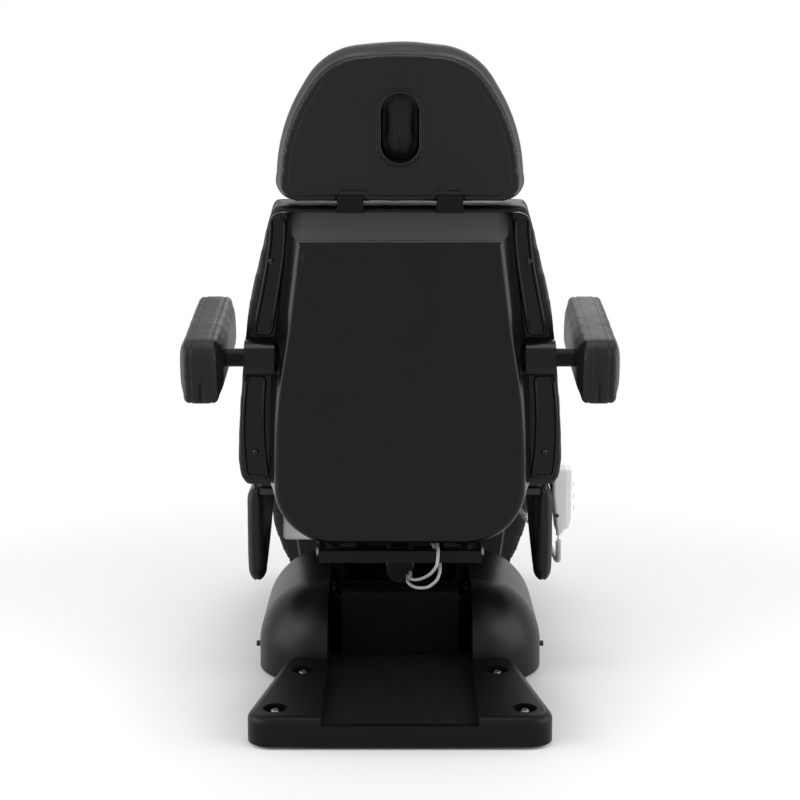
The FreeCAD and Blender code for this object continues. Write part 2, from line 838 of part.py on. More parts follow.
def seat_frame():
    """Two rails and two cross members under the seat, with the knee hinge's ears."""
    inner = side_plate_x + side_plate_thick
    rail = block(inner, inner + seat_rail_width, seat_rail_rear, seat_rail_front, seat_frame_bottom, seat_frame_top)
    crosses = [block(-seat_cross_half, seat_cross_half, y, y + seat_cross_depth, seat_frame_bottom, seat_frame_top)
               for y in seat_cross_places]
    ear = [
        (seat_cross_places[-1], seat_frame_bottom),
        (knee_setback, knee_height - hinge_ear_radius),
        (knee_setback + hinge_ear_radius, knee_height),
        (knee_setback, knee_height + hinge_ear_radius),
        (seat_rail_front + overrun, seat_frame_top),
        (seat_cross_places[-1], seat_frame_top),
    ]
    ears = pair(plate_x(ear, knee_ear_x, knee_ear_x + knee_ear_thick))
    back_cheek = [
        (back_anchor_y - actuator_eye_wall * 2, back_anchor_z - actuator_eye_wall * 2),
        (back_anchor_y + actuator_eye_wall * 2, back_anchor_z - actuator_eye_wall * 2),
        (seat_cross_places[0] + seat_cross_depth, seat_frame_bottom),
        (seat_cross_places[0], seat_frame_bottom),
    ]
    solids = pair(rail) + crosses + ears + fork(back_cheek, back_actuator_x)
    frame = solids[0].fuse(solids[1:]).removeSplitter()
    holes = [round_x(hinge_pin_radius, -deck_half * 2, deck_half * 2, knee_setback, knee_height)]
    holes.append(pin_x(back_anchor_y, back_anchor_z, back_actuator_x, fork_outer + overrun))
    return frame.cut(holes)


def level_pad(start, end, half_width, bottom, top, crown, draw):
    """A cushion that lies on its board, lofted along Y with rounded ends."""
    sections = []
    for place_y, drop in pad_stations(start, end, seat_end_round):
        section = pad_section(half_width(place_y) - drop / 2, bottom, top - drop, crown, draw, 0)
        turn = Placement(Vector(0, place_y, 0), Rotation(Vector(1, 0, 0), 90))
        section.transformShape(turn.toMatrix())
        sections.append(section)
    return pad_loft(sections)


def seat_cushion():
    """Seat cushion, crowned across and drawn in at its sides."""
    bottom = seat_frame_top + seat_board_thick
    return level_pad(seat_rear, seat_front, lambda place_y: seat_half, bottom, seat_top, seat_crown, seat_draw)


def wing_section(x, inset):
    """A side wing's outline, high at the front and pointed low at the rear, at one X plane."""
    rear, front = wing_rear + inset, wing_front - inset
    top, tip = wing_top - inset, wing_tip + inset
    span, drop = front - rear, top - tip

    def at(shares):
        """A point of the outline from its shares of the length and the height."""
        return Vector(x, rear + span * shares[0], tip + drop * shares[1])

    corners = [at(shares) for shares in wing_corner_shares]
    edges = []
    for start, bend, end in zip(corners, wing_bend_shares, corners[1:] + corners[:1]):
        curve = Part.Arc(start, at(bend), end) if bend else Part.LineSegment(start, end)
        edges.append(curve.toShape())
    return Part.Wire(edges)


def side_wing():
    """Pillow-shaped pad that hangs beside the seat, seamed round its middle plane."""
    low, high = wing_mid_x - wing_half_thick, wing_mid_x + wing_half_thick
    near_edge = wing_half_thick * wing_near_share
    sections = [
        wing_section(low, wing_edge_inset),
        wing_section(wing_mid_x - near_edge, wing_edge_inset * wing_near_inset_share),
        wing_section(wing_mid_x, 0),
        wing_section(wing_mid_x + near_edge, wing_edge_inset * wing_near_inset_share),
        wing_section(high, wing_edge_inset),
    ]
    return pad_loft(sections)


def wing_straps():
    """Steel tongues from the seat's board down to the top of each wing."""
    straps = []
    for y in (wing_rear + wing_strap_rear, wing_front - wing_strap_front):
        flat = block(seat_board_half - wing_strap_width, wing_mid_x + wing_strap_thick, y, y + wing_strap_width,
                     seat_frame_top - wing_strap_thick, seat_frame_top)
        drop = block(wing_mid_x, wing_mid_x + wing_strap_thick, y, y + wing_strap_width, wing_top, seat_frame_top)
        straps += pair(flat.fuse(drop).removeSplitter())
    return straps


def control_box():
    """Moulded box of the motors' controller, hung under the seat's frame on the left."""
    outer = block(-box_outer, -box_inner, box_rear, box_front, box_bottom, seat_frame_bottom)
    outer = outer.makeFillet(box_round, [e for e in outer.Edges if e.BoundBox.ZMax < seat_frame_bottom - overrun
                                         or e.BoundBox.ZLength > box_round])
    inner = block(-box_outer + box_wall, -box_inner - box_wall, box_rear + box_wall, box_front - box_wall,
                  box_bottom + box_wall, seat_frame_bottom - box_wall)
    middle = -(box_inner + box_outer) / 2
    height = (box_bottom + seat_frame_bottom) / 2
    window = block(middle - inlet_width / 2, middle + inlet_width / 2, box_front - box_wall - overrun,
                   box_front + overrun, height - inlet_height / 2, height + inlet_height / 2)
    return outer.cut([inner, window])


def power_inlet():
    """Mains inlet in the control box's front wall, with its three blades."""
    middle = -(box_inner + box_outer) / 2
    height = (box_bottom + seat_frame_bottom) / 2
    half_w, half_h = inlet_width / 2, inlet_height / 2
    flange = block(middle - half_w - inlet_lip, middle + half_w + inlet_lip, box_front, box_front + box_wall,
                   height - half_h - inlet_lip, height + half_h + inlet_lip)
    body = block(middle - half_w, middle + half_w, box_front - inlet_depth * 3, box_front + box_wall,
                 height - half_h, height + half_h)
    cavity = block(middle - half_w + inlet_recess, middle + half_w - inlet_recess, box_front - inlet_depth * 2,
                   box_front + box_wall + overrun, height - half_h + inlet_recess, height + half_h - inlet_recess)
    inlet = flange.fuse(body).cut(cavity)
    blades = [block(middle + step * inlet_lip * 2 - overrun, middle + step * inlet_lip * 2 + overrun,
                    box_front - inlet_depth * 2, box_front - inlet_depth / 2,
                    height - inlet_recess, height + inlet_recess) for step in (-1, 0, 1)]
    return inlet.fuse(blades).removeSplitter()


# Handset

def handset_block(outline, inset, open_x):
    """A shell's body or its hollow: a side outline of (x, z) points across the handset, rounded off its split."""
    y0, y1 = handset_y - handset_half_width + inset, handset_y + handset_half_width - inset
    ring = [Vector(x, y0, z) for x, z in outline]
    solid = Part.Face(Part.makePolygon(ring + ring[:1])).extrude(Vector(0, y1 - y0, 0))
    edges = [edge for edge in solid.Edges if abs(edge.CenterOfMass.x - open_x) > fit]
    return solid.makeFillet(handset_round - inset, edges)


def handset_shells():
    """Back and front shells of the handset, hollow, with the buttons' holes in the front."""
    low_x, high_x = handset_x - handset_half_thick, handset_x + handset_half_thick
    split = handset_x + handset_split
    wall, top = handset_wall, handset_top
    back = handset_block([
        (low_x, top), (split, top), (split, handset_front_low), (handset_x + handset_neck_outer, handset_bottom),
        (handset_x - handset_neck_inner, handset_bottom), (low_x, handset_taper)], 0, split)
    back_hollow = handset_block([
        (low_x + wall, top - wall), (split + overrun, top - wall), (split + overrun, handset_front_low + wall),
        (handset_x + handset_neck_outer - wall, handset_bottom + wall),
        (handset_x - handset_neck_inner + wall, handset_bottom + wall),
        (low_x + wall, handset_taper)], wall, split + overrun)
    front = handset_block([
        (split, top), (high_x, top), (high_x, handset_front_slope),
        (high_x - handset_toe_inset, handset_front_toe), (split, handset_front_low)], 0, split)
    front_hollow = handset_block([
        (split - overrun, top - wall), (high_x - wall, top - wall), (high_x - wall, handset_front_slope),
        (high_x - handset_toe_inset - wall, handset_front_toe + wall),
        (split - overrun, handset_front_low + wall)], wall, split - overrun)
    holes = [round_x(button_radius + fit, split, high_x + overrun, y, z) for y, z in button_places()]
    gland = round_z(strain_relief_radius, handset_bottom - overrun, handset_bottom + wall + overrun,
                    handset_x - handset_split, handset_y)
    window = block(low_x - overrun, low_x + wall + overrun,
                   handset_y - holder_half_width - hook_slot_play, handset_y + holder_half_width + hook_slot_play,
                   holder_height - hook_rise - hook_slot_play, holder_height + holder_thick + seat_gap)
    return back.cut([back_hollow, gland, window]), front.cut([front_hollow] + holes)


def button_places():
    """(y, z) places of the handset's buttons, two to a row."""
    places = []
    for row in range(button_rows):
        z = handset_top - button_first_drop - row * button_pitch
        places += [(handset_y - button_spread, z), (handset_y + button_spread, z)]
    return places


def button(y, z):
    """A round key with a flange behind the handset's front."""
    face = handset_x + handset_half_thick
    key = round_x(button_radius, face - handset_wall - button_flange, face + button_stand, y, z)
    flange = round_x(button_radius + button_flange, face - handset_wall - button_flange - fit,
                     face - handset_wall - fit, y, z)
    return key.fuse(flange).removeSplitter()


def handset_holder():
    """Bent strip under the seat's board that goes out over the wing and turns up into a hook."""
    y0, y1 = handset_y - holder_half_width, handset_y + holder_half_width
    outside = handset_x - handset_half_thick + handset_wall
    drop_x = outside - handset_wall - holder_thick - seat_gap
    run = block(seat_board_half - wing_strap_width * 2, drop_x + holder_thick, y0, y1,
                seat_frame_top - holder_thick, seat_frame_top)
    drop = block(drop_x, drop_x + holder_thick, y0, y1, holder_height, seat_frame_top)
    shelf = block(drop_x, outside + holder_thick, y0, y1, holder_height, holder_height + holder_thick)
    hook = block(outside + seat_gap, outside + seat_gap + holder_thick, y0, y1, holder_height,
                 holder_height + hook_rise)
    return run.fuse([drop, shelf, hook]).removeSplitter()


def strain_relief():
    """Sleeve where the curly cord leaves the handset."""
    x = handset_x - handset_split
    sleeve = round_z(strain_relief_radius, handset_bottom - strain_relief_length, handset_bottom + handset_wall, x,
                     handset_y)
    return sleeve


# Cords

def rounded_path(points):
    """A wire through points with each corner rounded by the largest arc that its two runs allow."""
    corners = [Vector(*point) for point in points]
    edges = []
    radii = []
    at = corners[0]
    for before, corner, after in zip(corners, corners[1:], corners[2:]):
        into = (before - corner).normalize()
        out = (after - corner).normalize()
        turn = math.pi - into.getAngle(out)
        run = min((before - corner).Length, (after - corner).Length) * bend_run_share
        radius = run / math.tan(turn / 2)
        start, end = corner + into * run, corner + out * run
        inward = (into + out).normalize()
        centre = corner + inward * (radius / math.cos(turn / 2))
        edges.append(Part.LineSegment(at, start).toShape())
        edges.append(Part.Arc(start, centre - inward * radius, end).toShape())
        radii.append(radius)
        at = end
    edges.append(Part.LineSegment(at, corners[-1]).toShape())
    return Part.Wire(edges), radii


def cable(points, radius):
    """A round cable along a route of rounded corners."""
    path, radii = rounded_path(points)
    start = Vector(*points[0])
    heading = Vector(*points[1]) - start
    ring = Part.Wire(Part.makeCircle(radius, start, heading))
    solid = path.makePipeShell([ring], True, False)
    length = path.Length
    share = solid.Volume / (math.pi * radius ** 2 * length)
    print(f"cable: {length:.0f} mm long, volume share {share:.3f}, radii", [round(r) for r in radii])
    return solid


cord_route = [
    (334.0, 268.0, 294.0),
    (334.0, 269.0, 268.0),
    (337.0, 283.0, 240.0),
    (338.0, 318.0, 224.0),
    (336.0, 360.0, 224.0),
    (327.0, 402.0, 238.0),
    (303.0, 436.0, 262.0),
    (271.0, 456.0, 292.0),
    (251.0, 467.0, 328.0),
    (246.0, 470.0, 358.0),
    (246.0, 470.0, 384.0),
]


cable_routes = [
    [(60.0, 134.3, 336.0), (60.0, 100.0, 344.8), (72.0, 50.0, 341.0), (74.0, -10.0, 338.6), (72.0, -11.0, 309.0),
     (60.0, 24.0, 281.0), (40.0, 66.0, 258.0), (21.0, 100.0, 247.0), (21.0, 136.5, 252.0)],
    [(62.0, 130.2, 319.7), (62.0, 104.0, 326.4), (74.0, 62.0, 312.0), (80.0, 32.0, 292.0), (74.0, 30.0, 268.0),
     (56.0, 50.0, 246.0), (32.0, 78.0, 237.0), (15.0, 102.0, 240.0), (15.0, 137.5, 244.9)],
]


def curly_cord():
    """The handset's cord as one helix along its route, each quarter turn made of two arcs."""
    path, radii = rounded_path(cord_route)
    length = path.Length
    turns = int((length - 2 * cord_lead) / cord_pitch)
    steps = turns * 4
    edges = path.OrderedEdges
    starts = [sum(edge.Length for edge in edges[:i]) for i in range(len(edges))]

    def frame_at(distance, side):
        """Point and two cross directions of the route at a distance along it."""
        index = max(i for i, begin in enumerate(starts) if begin <= distance + fit)
        edge = edges[index]
        share = min(max((distance - starts[index]) / edge.Length, 0), 1)
        first, last = edge.FirstParameter, edge.LastParameter
        if edge.Orientation == "Reversed":
            first, last = last, first
        spot = first + (last - first) * share
        tangent = edge.tangentAt(spot)
        if edge.Orientation == "Reversed":
            tangent = tangent * -1
        side = (side - tangent * side.dot(tangent)).normalize()
        return edge.valueAt(spot), side, tangent.cross(side), tangent

    side = Vector(1, 0, 0)
    points = []
    for step in range(steps + 1):
        distance = cord_lead + (length - 2 * cord_lead) * step / steps
        centre, side, up, tangent = frame_at(distance, side)
        angle = step * math.pi / 2
        ease = min(1.0, step / 4, (steps - step) / 4)
        radius = cord_coil_radius * ease
        points.append(centre + side * (radius * math.cos(angle)) + up * (radius * math.sin(angle)))
    first, last = Vector(*cord_route[0]), Vector(*cord_route[-1])
    stubs = [Vector(0, 0, cord_lead * share) for share in cord_stub_shares]
    points = [first - stub for stub in stubs] + points + [last - stub for stub in reversed(stubs)]
    spline = Part.BSplineCurve()
    spline.interpolate(points)
    arcs = spline.toBiArcs(cord_arc_error)
    wire = Part.Wire([arc.toShape() for arc in arcs])
    start = wire.OrderedEdges[0]
    ring = Part.Wire(Part.makeCircle(cord_wire_radius, first, start.tangentAt(start.FirstParameter)))
    solid = wire.makePipeShell([ring], True, False)
    share = solid.Volume / (math.pi * cord_wire_radius ** 2 * wire.Length)
    beads = wire.discretize(Distance=overrun)
    near = int(cord_pitch / 2 + 2 * cord_coil_radius)
    gap = min(
        (beads[i] - beads[j]).Length
        for i in range(len(beads))
        for j in range(i + near, min(i + 8 * near, len(beads)))
    ) - 2 * cord_wire_radius
    print(f"curly cord: {turns} curls, {wire.Length:.0f} mm of wire, {len(arcs)} arcs, volume share {share:.3f}, "
          f"least gap {gap:.2f} mm, route {length:.0f} mm, radii", [round(r) for r in radii])
    return solid


def handset_socket():
    """Socket of the handset's cord, on a tab under the seat's front cross member."""
    tab_y = seat_cross_places[-1]
    barrel = round_z(socket_radius, cord_route[-1][2], cord_route[-1][2] + socket_length, socket_x, socket_y)
    tab = block(socket_x - socket_radius, socket_x + socket_radius, socket_y, tab_y,
                seat_frame_bottom, seat_frame_bottom + holder_thick)
    return barrel.fuse(tab).removeSplitter()


# Back

shell_levels = [shell_flange_bottom + (shell_face_top - shell_flange_bottom) * share for share in shell_level_shares]


def shell_outline(halves, y, top, bottom, corner):
    """A closed outline of the shell at one depth: curved sides, straight top and a round-cornered bottom."""
    turn = bottom + corner
    levels = [turn] + shell_levels[1:-1] + [top]
    right = [Vector(half, y, level) for half, level in zip(halves, levels)]
    left = [Vector(-point.x, y, point.z) for point in right]
    low = halves[0] - corner
    bend = corner * (1 - math.sqrt(0.5))
    side, other = Part.BSplineCurve(), Part.BSplineCurve()
    side.interpolate(right)
    other.interpolate(left[::-1])
    edges = [
        side.toShape(),
        Part.LineSegment(right[-1], left[-1]).toShape(),
        other.toShape(),
        Part.Arc(left[0], Vector(bend - halves[0], y, bottom + bend), Vector(-low, y, bottom)).toShape(),
        Part.LineSegment(Vector(-low, y, bottom), Vector(low, y, bottom)).toShape(),
        Part.Arc(Vector(low, y, bottom), Vector(halves[0] - bend, y, bottom + bend), right[0]).toShape(),
    ]
    return Part.Wire(edges)


def bulge(inset):
    """The shell's raised middle as a solid, from the flange's plane out to its round-edged face."""
    foot = [half - inset for half in shell_foot_half]
    face = [half - inset for half in shell_face_half]
    bottom, corner = shell_bottom + inset, shell_bottom_corner - inset
    near = shell_outline(foot, 0, shell_top - inset, bottom, corner)
    far = shell_outline(face, inset - shell_depth, shell_face_top - inset, bottom, corner)
    solid = Part.makeLoft([near, far], True, True)
    rim = [edge for edge in solid.Edges if edge.BoundBox.YMax < inset - shell_depth + fit]
    solid = solid.makeFillet(shell_edge - inset, rim)
    return solid, Part.Face(near)


def flange_plate():
    """The shell's flange before its middle is cut out: curved sides and round top corners."""
    levels = shell_levels[:-1] + [shell_top - shell_flange_corner]
    right = [Vector(half, 0, level) for half, level in zip(shell_flange_half, levels)]
    left = [Vector(-point.x, 0, point.z) for point in right]
    side, other = Part.BSplineCurve(), Part.BSplineCurve()
    side.interpolate(right)
    other.interpolate(left[::-1])
    top_half = shell_flange_half[-1] - shell_flange_corner
    bend = shell_flange_corner * (1 - math.sqrt(0.5))
    knee_x, knee_z = shell_flange_half[-1] - bend, shell_top - bend
    edges = [
        side.toShape(),
        Part.Arc(right[-1], Vector(knee_x, 0, knee_z), Vector(top_half, 0, shell_top)).toShape(),
        Part.LineSegment(Vector(top_half, 0, shell_top), Vector(-top_half, 0, shell_top)).toShape(),
        Part.Arc(Vector(-top_half, 0, shell_top), Vector(-knee_x, 0, knee_z), left[-1]).toShape(),
        other.toShape(),
        Part.LineSegment(left[0], right[0]).toShape(),
    ]
    return Part.Face(Part.Wire(edges)).extrude(Vector(0, shell_flange_thick, 0))


def back_shell():
    """Moulded rear shell of the back: screwed flange strips, a deep middle and the armrests' bosses."""
    outer, _ = bulge(0)
    hollow, mouth = bulge(shell_wall)
    boss = round_x(arm_boss_radius, arm_boss_inner, arm_sleeve_outer, arm_rod_back, arm_rod_height)
    solid = outer.fuse([flange_plate()] + pair(boss)).removeSplitter()
    wide, tall = shell_flange_half[0] * 2, shell_top * 2
    front = block(-wide, wide, shell_flange_thick, shell_depth * 2, shell_bottom * 2, tall)
    lower_open = block(-wide, wide, shell_tongue_lip - shell_depth, shell_depth, shell_bottom * 2, shell_flange_bottom)
    notch = block(-shell_notch_half, shell_notch_half, shell_wall - shell_depth, shell_depth, shell_bottom * 2, 0)
    sleeve = round_x(arm_rod_radius + arm_sleeve_wall, 0, arm_sleeve_outer + overrun, arm_rod_back, arm_rod_height)
    opening = mouth.extrude(Vector(0, shell_flange_thick + overrun, 0))
    post_half = post_half_width + post_slot_play
    post_slot = block(post_x - post_half, post_x + post_half, -post_slot_play, shell_depth, shell_face_top, tall)
    cuts = [hollow, opening, front, lower_open, notch] + pair(sleeve) + pair(post_slot)
    return solid.cut(cuts).removeSplitter()


def back_frame():
    """Two uprights and three cross members inside the shell, with hinge ears and the actuator's lugs."""
    upright = block(upright_x, upright_x + upright_width, upright_front - upright_depth, upright_front,
                    upright_bottom, upright_top)
    ear_x0 = side_plate_x + side_plate_thick + side_play
    ear = round_x(hinge_ear_radius, ear_x0, ear_x0 + back_ear_thick, 0, 0)
    web = block(ear_x0, ear_x0 + back_ear_thick, upright_front - upright_depth / 2, 0, upright_bottom, hinge_ear_radius)
    upright = upright.fuse([ear, web])
    crosses = [block(-upright_x, upright_x, upright_front - upright_depth, upright_front, level,
                     level + back_cross_height) for level in (back_cross_low, back_cross_mid)]
    lug_y, lug_z = local_in_back(back_pin_y, back_pin_z)
    cheek = [
        (upright_front, back_cross_low + overrun),
        (upright_front - upright_depth, back_cross_low + overrun),
        (lug_y - actuator_eye_wall * 1.5, lug_z - actuator_eye_wall),
        (lug_y, lug_z - actuator_eye_wall * 2),
        (lug_y + actuator_eye_wall * 2, lug_z - actuator_eye_wall),
    ]
    cheeks = fork(cheek, back_actuator_x)
    solids = pair(upright) + crosses + cheeks + [head_guides()]
    frame = solids[0].fuse(solids[1:]).removeSplitter()
    hinge = round_x(hinge_pin_radius + fit, -deck_half * 2, deck_half * 2, 0, 0)
    return frame.cut(hinge).fuse(pin_x(lug_y, lug_z, back_actuator_x, fork_outer)).removeSplitter()


def local_in_back(y, z):
    """A place in the side view, in the upright back's own frame."""
    angle = math.radians(recline_rest)
    dz = z - hinge_height
    return y * math.cos(angle) + dz * math.sin(angle), dz * math.cos(angle) - y * math.sin(angle)


def local_in_leg(y, z):
    """A place in the side view, in the level leg rest's own frame."""
    angle = math.radians(-leg_drop)
    dy, dz = y - knee_setback, z - knee_height
    return dy * math.cos(angle) + dz * math.sin(angle), dz * math.cos(angle) - dy * math.sin(angle)


def head_guides():
    """Two guides on the frame's uprights that the headrest's flat posts slide in."""
    top = post_guide_bottom + post_guide_height
    shoe = block(post_x - post_half_width - post_guide_wall, post_x + post_half_width + post_guide_wall,
                 upright_front, shell_flange_thick, post_guide_bottom, top)
    slot = block(post_x - post_half_width - fit, post_x + post_half_width + fit, -fit, shell_flange_thick + overrun,
                 post_guide_bottom - overrun, top + overrun)
    rail = block(-upright_x, upright_x, upright_front - upright_depth, upright_front, post_guide_bottom, top)
    shoes = pair(shoe.cut(slot))
    return rail.fuse(shoes).removeSplitter()


def back_cushion():
    """Back cushion, widest low down, crowned across and drawn in at the sides."""
    back = shell_flange_thick + back_board_thick
    height = back_pad_top - back_pad_bottom
    sections = []
    for level, drop in pad_stations(back_pad_bottom, back_pad_top, seat_end_round):
        half = half_at((level - back_pad_bottom) / height, back_pad_shares, back_pad_half)
        sections.append(pad_section(half - drop / 3, back, back_pad_front - drop, back_pad_crown, back_pad_draw, level))
    return pad_loft(sections)


def armrest_sleeve():
    """Closed tube on a stub of the frame's upright, which the armrest's rod turns in."""
    upright = upright_x + upright_width
    stub = round_x(arm_stub_radius, upright, arm_sleeve_inner + arm_sleeve_end, arm_rod_back, arm_rod_height)
    tube = round_x(arm_rod_radius + arm_sleeve_wall, arm_sleeve_inner, arm_sleeve_outer, arm_rod_back, arm_rod_height)
    bore = round_x(arm_rod_radius + fit, arm_sleeve_inner + arm_sleeve_end, arm_sleeve_outer + overrun,
                   arm_rod_back, arm_rod_height)
    return stub.fuse(tube).cut(bore).removeSplitter()


def armrest_pad():
    """Upholstered armrest, swollen on every side, with a socket for its rod."""
    middle_x = (armrest_inner + armrest_outer) / 2
    half_x, half_z = (armrest_outer - armrest_inner) / 2 - armrest_crown, armrest_height / 2 - armrest_crown
    length = armrest_front - armrest_rear
    middle_z = arm_rod_height - armrest_drop
    sections = []
    for share, end_share in zip(armrest_station_shares, armrest_end_shares):
        y = armrest_rear + length * share
        shrink = armrest_end * end_share
        hx, hz = half_x - shrink / 2, half_z - shrink
        corners = [Vector(middle_x - hx, y, middle_z - hz), Vector(middle_x + hx, y, middle_z - hz),
                   Vector(middle_x + hx, y, middle_z + hz), Vector(middle_x - hx, y, middle_z + hz)]
        bulges = [Vector(middle_x, y, middle_z - hz - armrest_crown),
                  Vector(middle_x + hx + armrest_crown, y, middle_z),
                  Vector(middle_x, y, middle_z + hz + armrest_crown),
                  Vector(middle_x - hx - armrest_crown, y, middle_z)]
        edges = [Part.Arc(start, swell, end).toShape()
                 for start, swell, end in zip(corners, bulges, corners[1:] + corners[:1])]
        sections.append(Part.Wire(edges))
    pad = pad_loft(sections)
    return pad.cut(round_x(arm_rod_radius, 0, armrest_inner + armrest_bore_depth, arm_rod_back, arm_rod_height))


def head_section(inset, y):
    """The headrest's outline at one depth: straight below, round at the shoulders and nearly flat on top."""
    half = head_half - inset
    low, high = head_bottom + inset, head_top - inset
    height = high - low
    right = [[Vector(half * across, y, low + height * up) for across, up in shares]
             for shares in (head_corner_shares, head_side_shares, head_shoulder_shares)]
    left = [[Vector(-p.x, p.y, p.z) for p in reversed(points)] for points in reversed(right)]
    edges = [Part.LineSegment(left[-1][-1], right[0][0]).toShape()]
    edges += [Part.Arc(*points).toShape() for points in right]
    edges.append(Part.Arc(right[-1][-1], Vector(0, y, high), left[0][0]).toShape())
    edges += [Part.Arc(*points).toShape() for points in left]
    return Part.Wire(edges)


def headrest_board():
    """Upholstered back panel of the headrest, with pockets for the posts and the face hole."""
    panel = Part.Face(head_section(head_board_inset, head_back)).extrude(Vector(0, head_board_thick, 0))
    pocket = block(post_x - post_half_width, post_x + post_half_width, 0, post_thick,
                   head_bottom, head_bottom + head_board_inset + post_in_head)
    hole = stadium(hole_half_width, hole_height, hole_centre, head_back - overrun, head_back + head_board_thick + overrun)
    return panel.cut(pair(pocket) + [hole])


def headrest_pad():
    """Thick headrest cushion with a flared front edge, a crowned face and the face hole."""
    back = head_back + head_board_thick
    depth = head_front - back
    sections = [head_section(inset, back + depth * share)
                for inset, share in zip(head_station_insets, head_station_shares)]
    hole = stadium(hole_half_width, hole_height, hole_centre, back - overrun, head_front + overrun)
    return pad_loft(sections).cut(hole)


def face_plug():
    """Loose pillow that fills the face hole."""
    half = hole_half_width - plug_gap
    plug = stadium(half, hole_height - 2 * plug_gap, hole_centre, plug_back, plug_front)
    rims = [edge for edge in plug.Edges if edge.BoundBox.YLength < fit]
    return plug.makeFillet(plug_crown, rims)


def headrest_posts():
    """Two flat steel posts, fixed in the headrest's back panel."""
    return pair(block(post_x - post_half_width, post_x + post_half_width, 0, post_thick, post_bottom,
                      head_bottom + head_board_inset + post_in_head))


# Leg rest

def leg_half_at(place):
    """Half-width of the leg rest at a distance from the knee."""
    return half_at(place / leg_length, leg_half_shares, leg_half)


def leg_frame():
    """Two bars with hinge ears, two cross members and the lugs of the leg's actuator."""
    ear_x = knee_ear_x + knee_ear_thick + side_play
    bar = block(ear_x, ear_x + leg_bar_width, leg_start, leg_bar_end, 0, leg_bar_height)
    ear = round_x(hinge_ear_radius, ear_x, ear_x + knee_ear_thick, 0, 0)
    web = block(ear_x, ear_x + knee_ear_thick, 0, leg_start + hinge_ear_radius, 0, hinge_ear_radius)
    bar = bar.fuse([ear, web])
    crosses = [block(-ear_x, ear_x, y, y + leg_bar_width, 0, leg_bar_height) for y in leg_cross_places]
    pin_y, pin_z = local_in_leg(leg_pin_y, leg_pin_z)
    cheek = [
        (leg_cross_places[0], 0),
        (pin_y - actuator_eye_wall * 2, pin_z),
        (pin_y, pin_z - actuator_eye_wall * 2),
        (leg_cross_places[0] + leg_bar_width, 0),
        (leg_cross_places[0] + leg_bar_width, leg_bar_height / 2),
        (leg_cross_places[0], leg_bar_height / 2),
    ]
    solids = pair(bar) + crosses + fork(cheek, leg_actuator_x)
    frame = solids[0].fuse(solids[1:]).removeSplitter()
    hinge = round_x(hinge_pin_radius + fit, -deck_half * 2, deck_half * 2, 0, 0)
    return frame.cut(hinge).fuse(pin_x(pin_y, pin_z, leg_actuator_x, fork_outer)).removeSplitter()


def leg_plan(inset, start, end, z0, z1):
    """A tapering slab of the leg rest's plan."""
    near, far = leg_half_at(start) - inset, leg_half_at(end) - inset
    ring = [Vector(-near, start, z0), Vector(near, start, z0), Vector(far, end, z0), Vector(-far, end, z0)]
    return Part.Face(Part.makePolygon(ring + ring[:1])).extrude(Vector(0, 0, z1 - z0))


def leg_shell():
    """Moulded cover under the leg rest, with a raised panel and a notch for the actuator."""
    rim = leg_plan(leg_shell_inset, leg_shell_start, leg_shell_end, leg_bar_height - cover_wall, leg_bar_height)

    def raised(inset):
        knee, foot = leg_panel_knee - inset, leg_panel_foot - inset
        slope = leg_shell_depth / 2
        start = leg_shell_start - inset
        sections = []
        for grow, z in ((slope, leg_bar_height), (0, -leg_shell_depth + inset)):
            ring = [Vector(-knee - grow, start, z), Vector(knee + grow, start, z),
                    Vector(foot + grow, leg_panel_end + grow - inset, z),
                    Vector(-foot - grow, leg_panel_end + grow - inset, z)]
            sections.append(Part.makePolygon(ring + ring[:1]))
        return Part.makeLoft(sections, True, True)

    notch = block(-leg_notch_half, leg_notch_half, 0, leg_notch_end, -leg_shell_depth * 2, leg_bar_height + overrun)
    return rim.fuse(raised(0)).cut([raised(cover_wall), notch]).removeSplitter()


def leg_cushion():
    """Leg cushion, tapering to the foot, crowned and drawn in."""
    bottom = leg_bar_height + leg_board_thick
    return level_pad(leg_start, leg_length, leg_half_at, bottom, leg_top, leg_crown, leg_draw)


def screws(places, y):
    """Domed screw heads on the shell's flange."""
    heads = []
    for x, z in places:
        head = round_y(screw_radius, y - screw_head, y, x, z)
        heads += pair(head.makeFillet(screw_head / 2, [e for e in head.Edges if e.BoundBox.YMax < y - screw_head / 2]))
    return heads


# Assembly

leg_anchor, leg_pin = (leg_anchor_y, leg_anchor_z), (leg_pin_y, leg_pin_z)
back_anchor, back_pin = (back_anchor_y, back_anchor_z), (back_pin_y, back_pin_z)
lift_anchor, lift_pin = (lift_anchor_y, lift_anchor_z), (lift_pin_y, lift_pin_z)


def build_base():
    """Frame, covers, feet and the fixed pins."""
    save("base_frame", [base_frame()])
    save("base_rear_cover", [base_rear_cover()])
    save("base_dome_cover", [base_dome_cover()])
    save("levelling_feet", levelling_feet())
    floor = platform_height - well_depth
    bolts = [round_z(well_bolt_radius, floor, floor + well_bolt_height, x, y) for x, y in well_places()]
    knob_y = platform_front + dome_corner + knob_forward
    save("cover_bolts", bolts + pair(round_x(knob_radius, dome_half, dome_half + knob_length, knob_y, knob_height)))
    save("mechanism_guard", [mechanism_guard()])
    save("guard_bolts", guard_bolts())
    outer = tower_inner + tower_thick
    save("lift_base_pins", stub_pins(*arm_base, arm_x - overrun, outer, base_pin_head)
         + stub_pins(*link_base, link_x - overrun, outer, base_pin_head)
         + [pin_x(*lift_anchor, lift_actuator_x, fork_outer)])


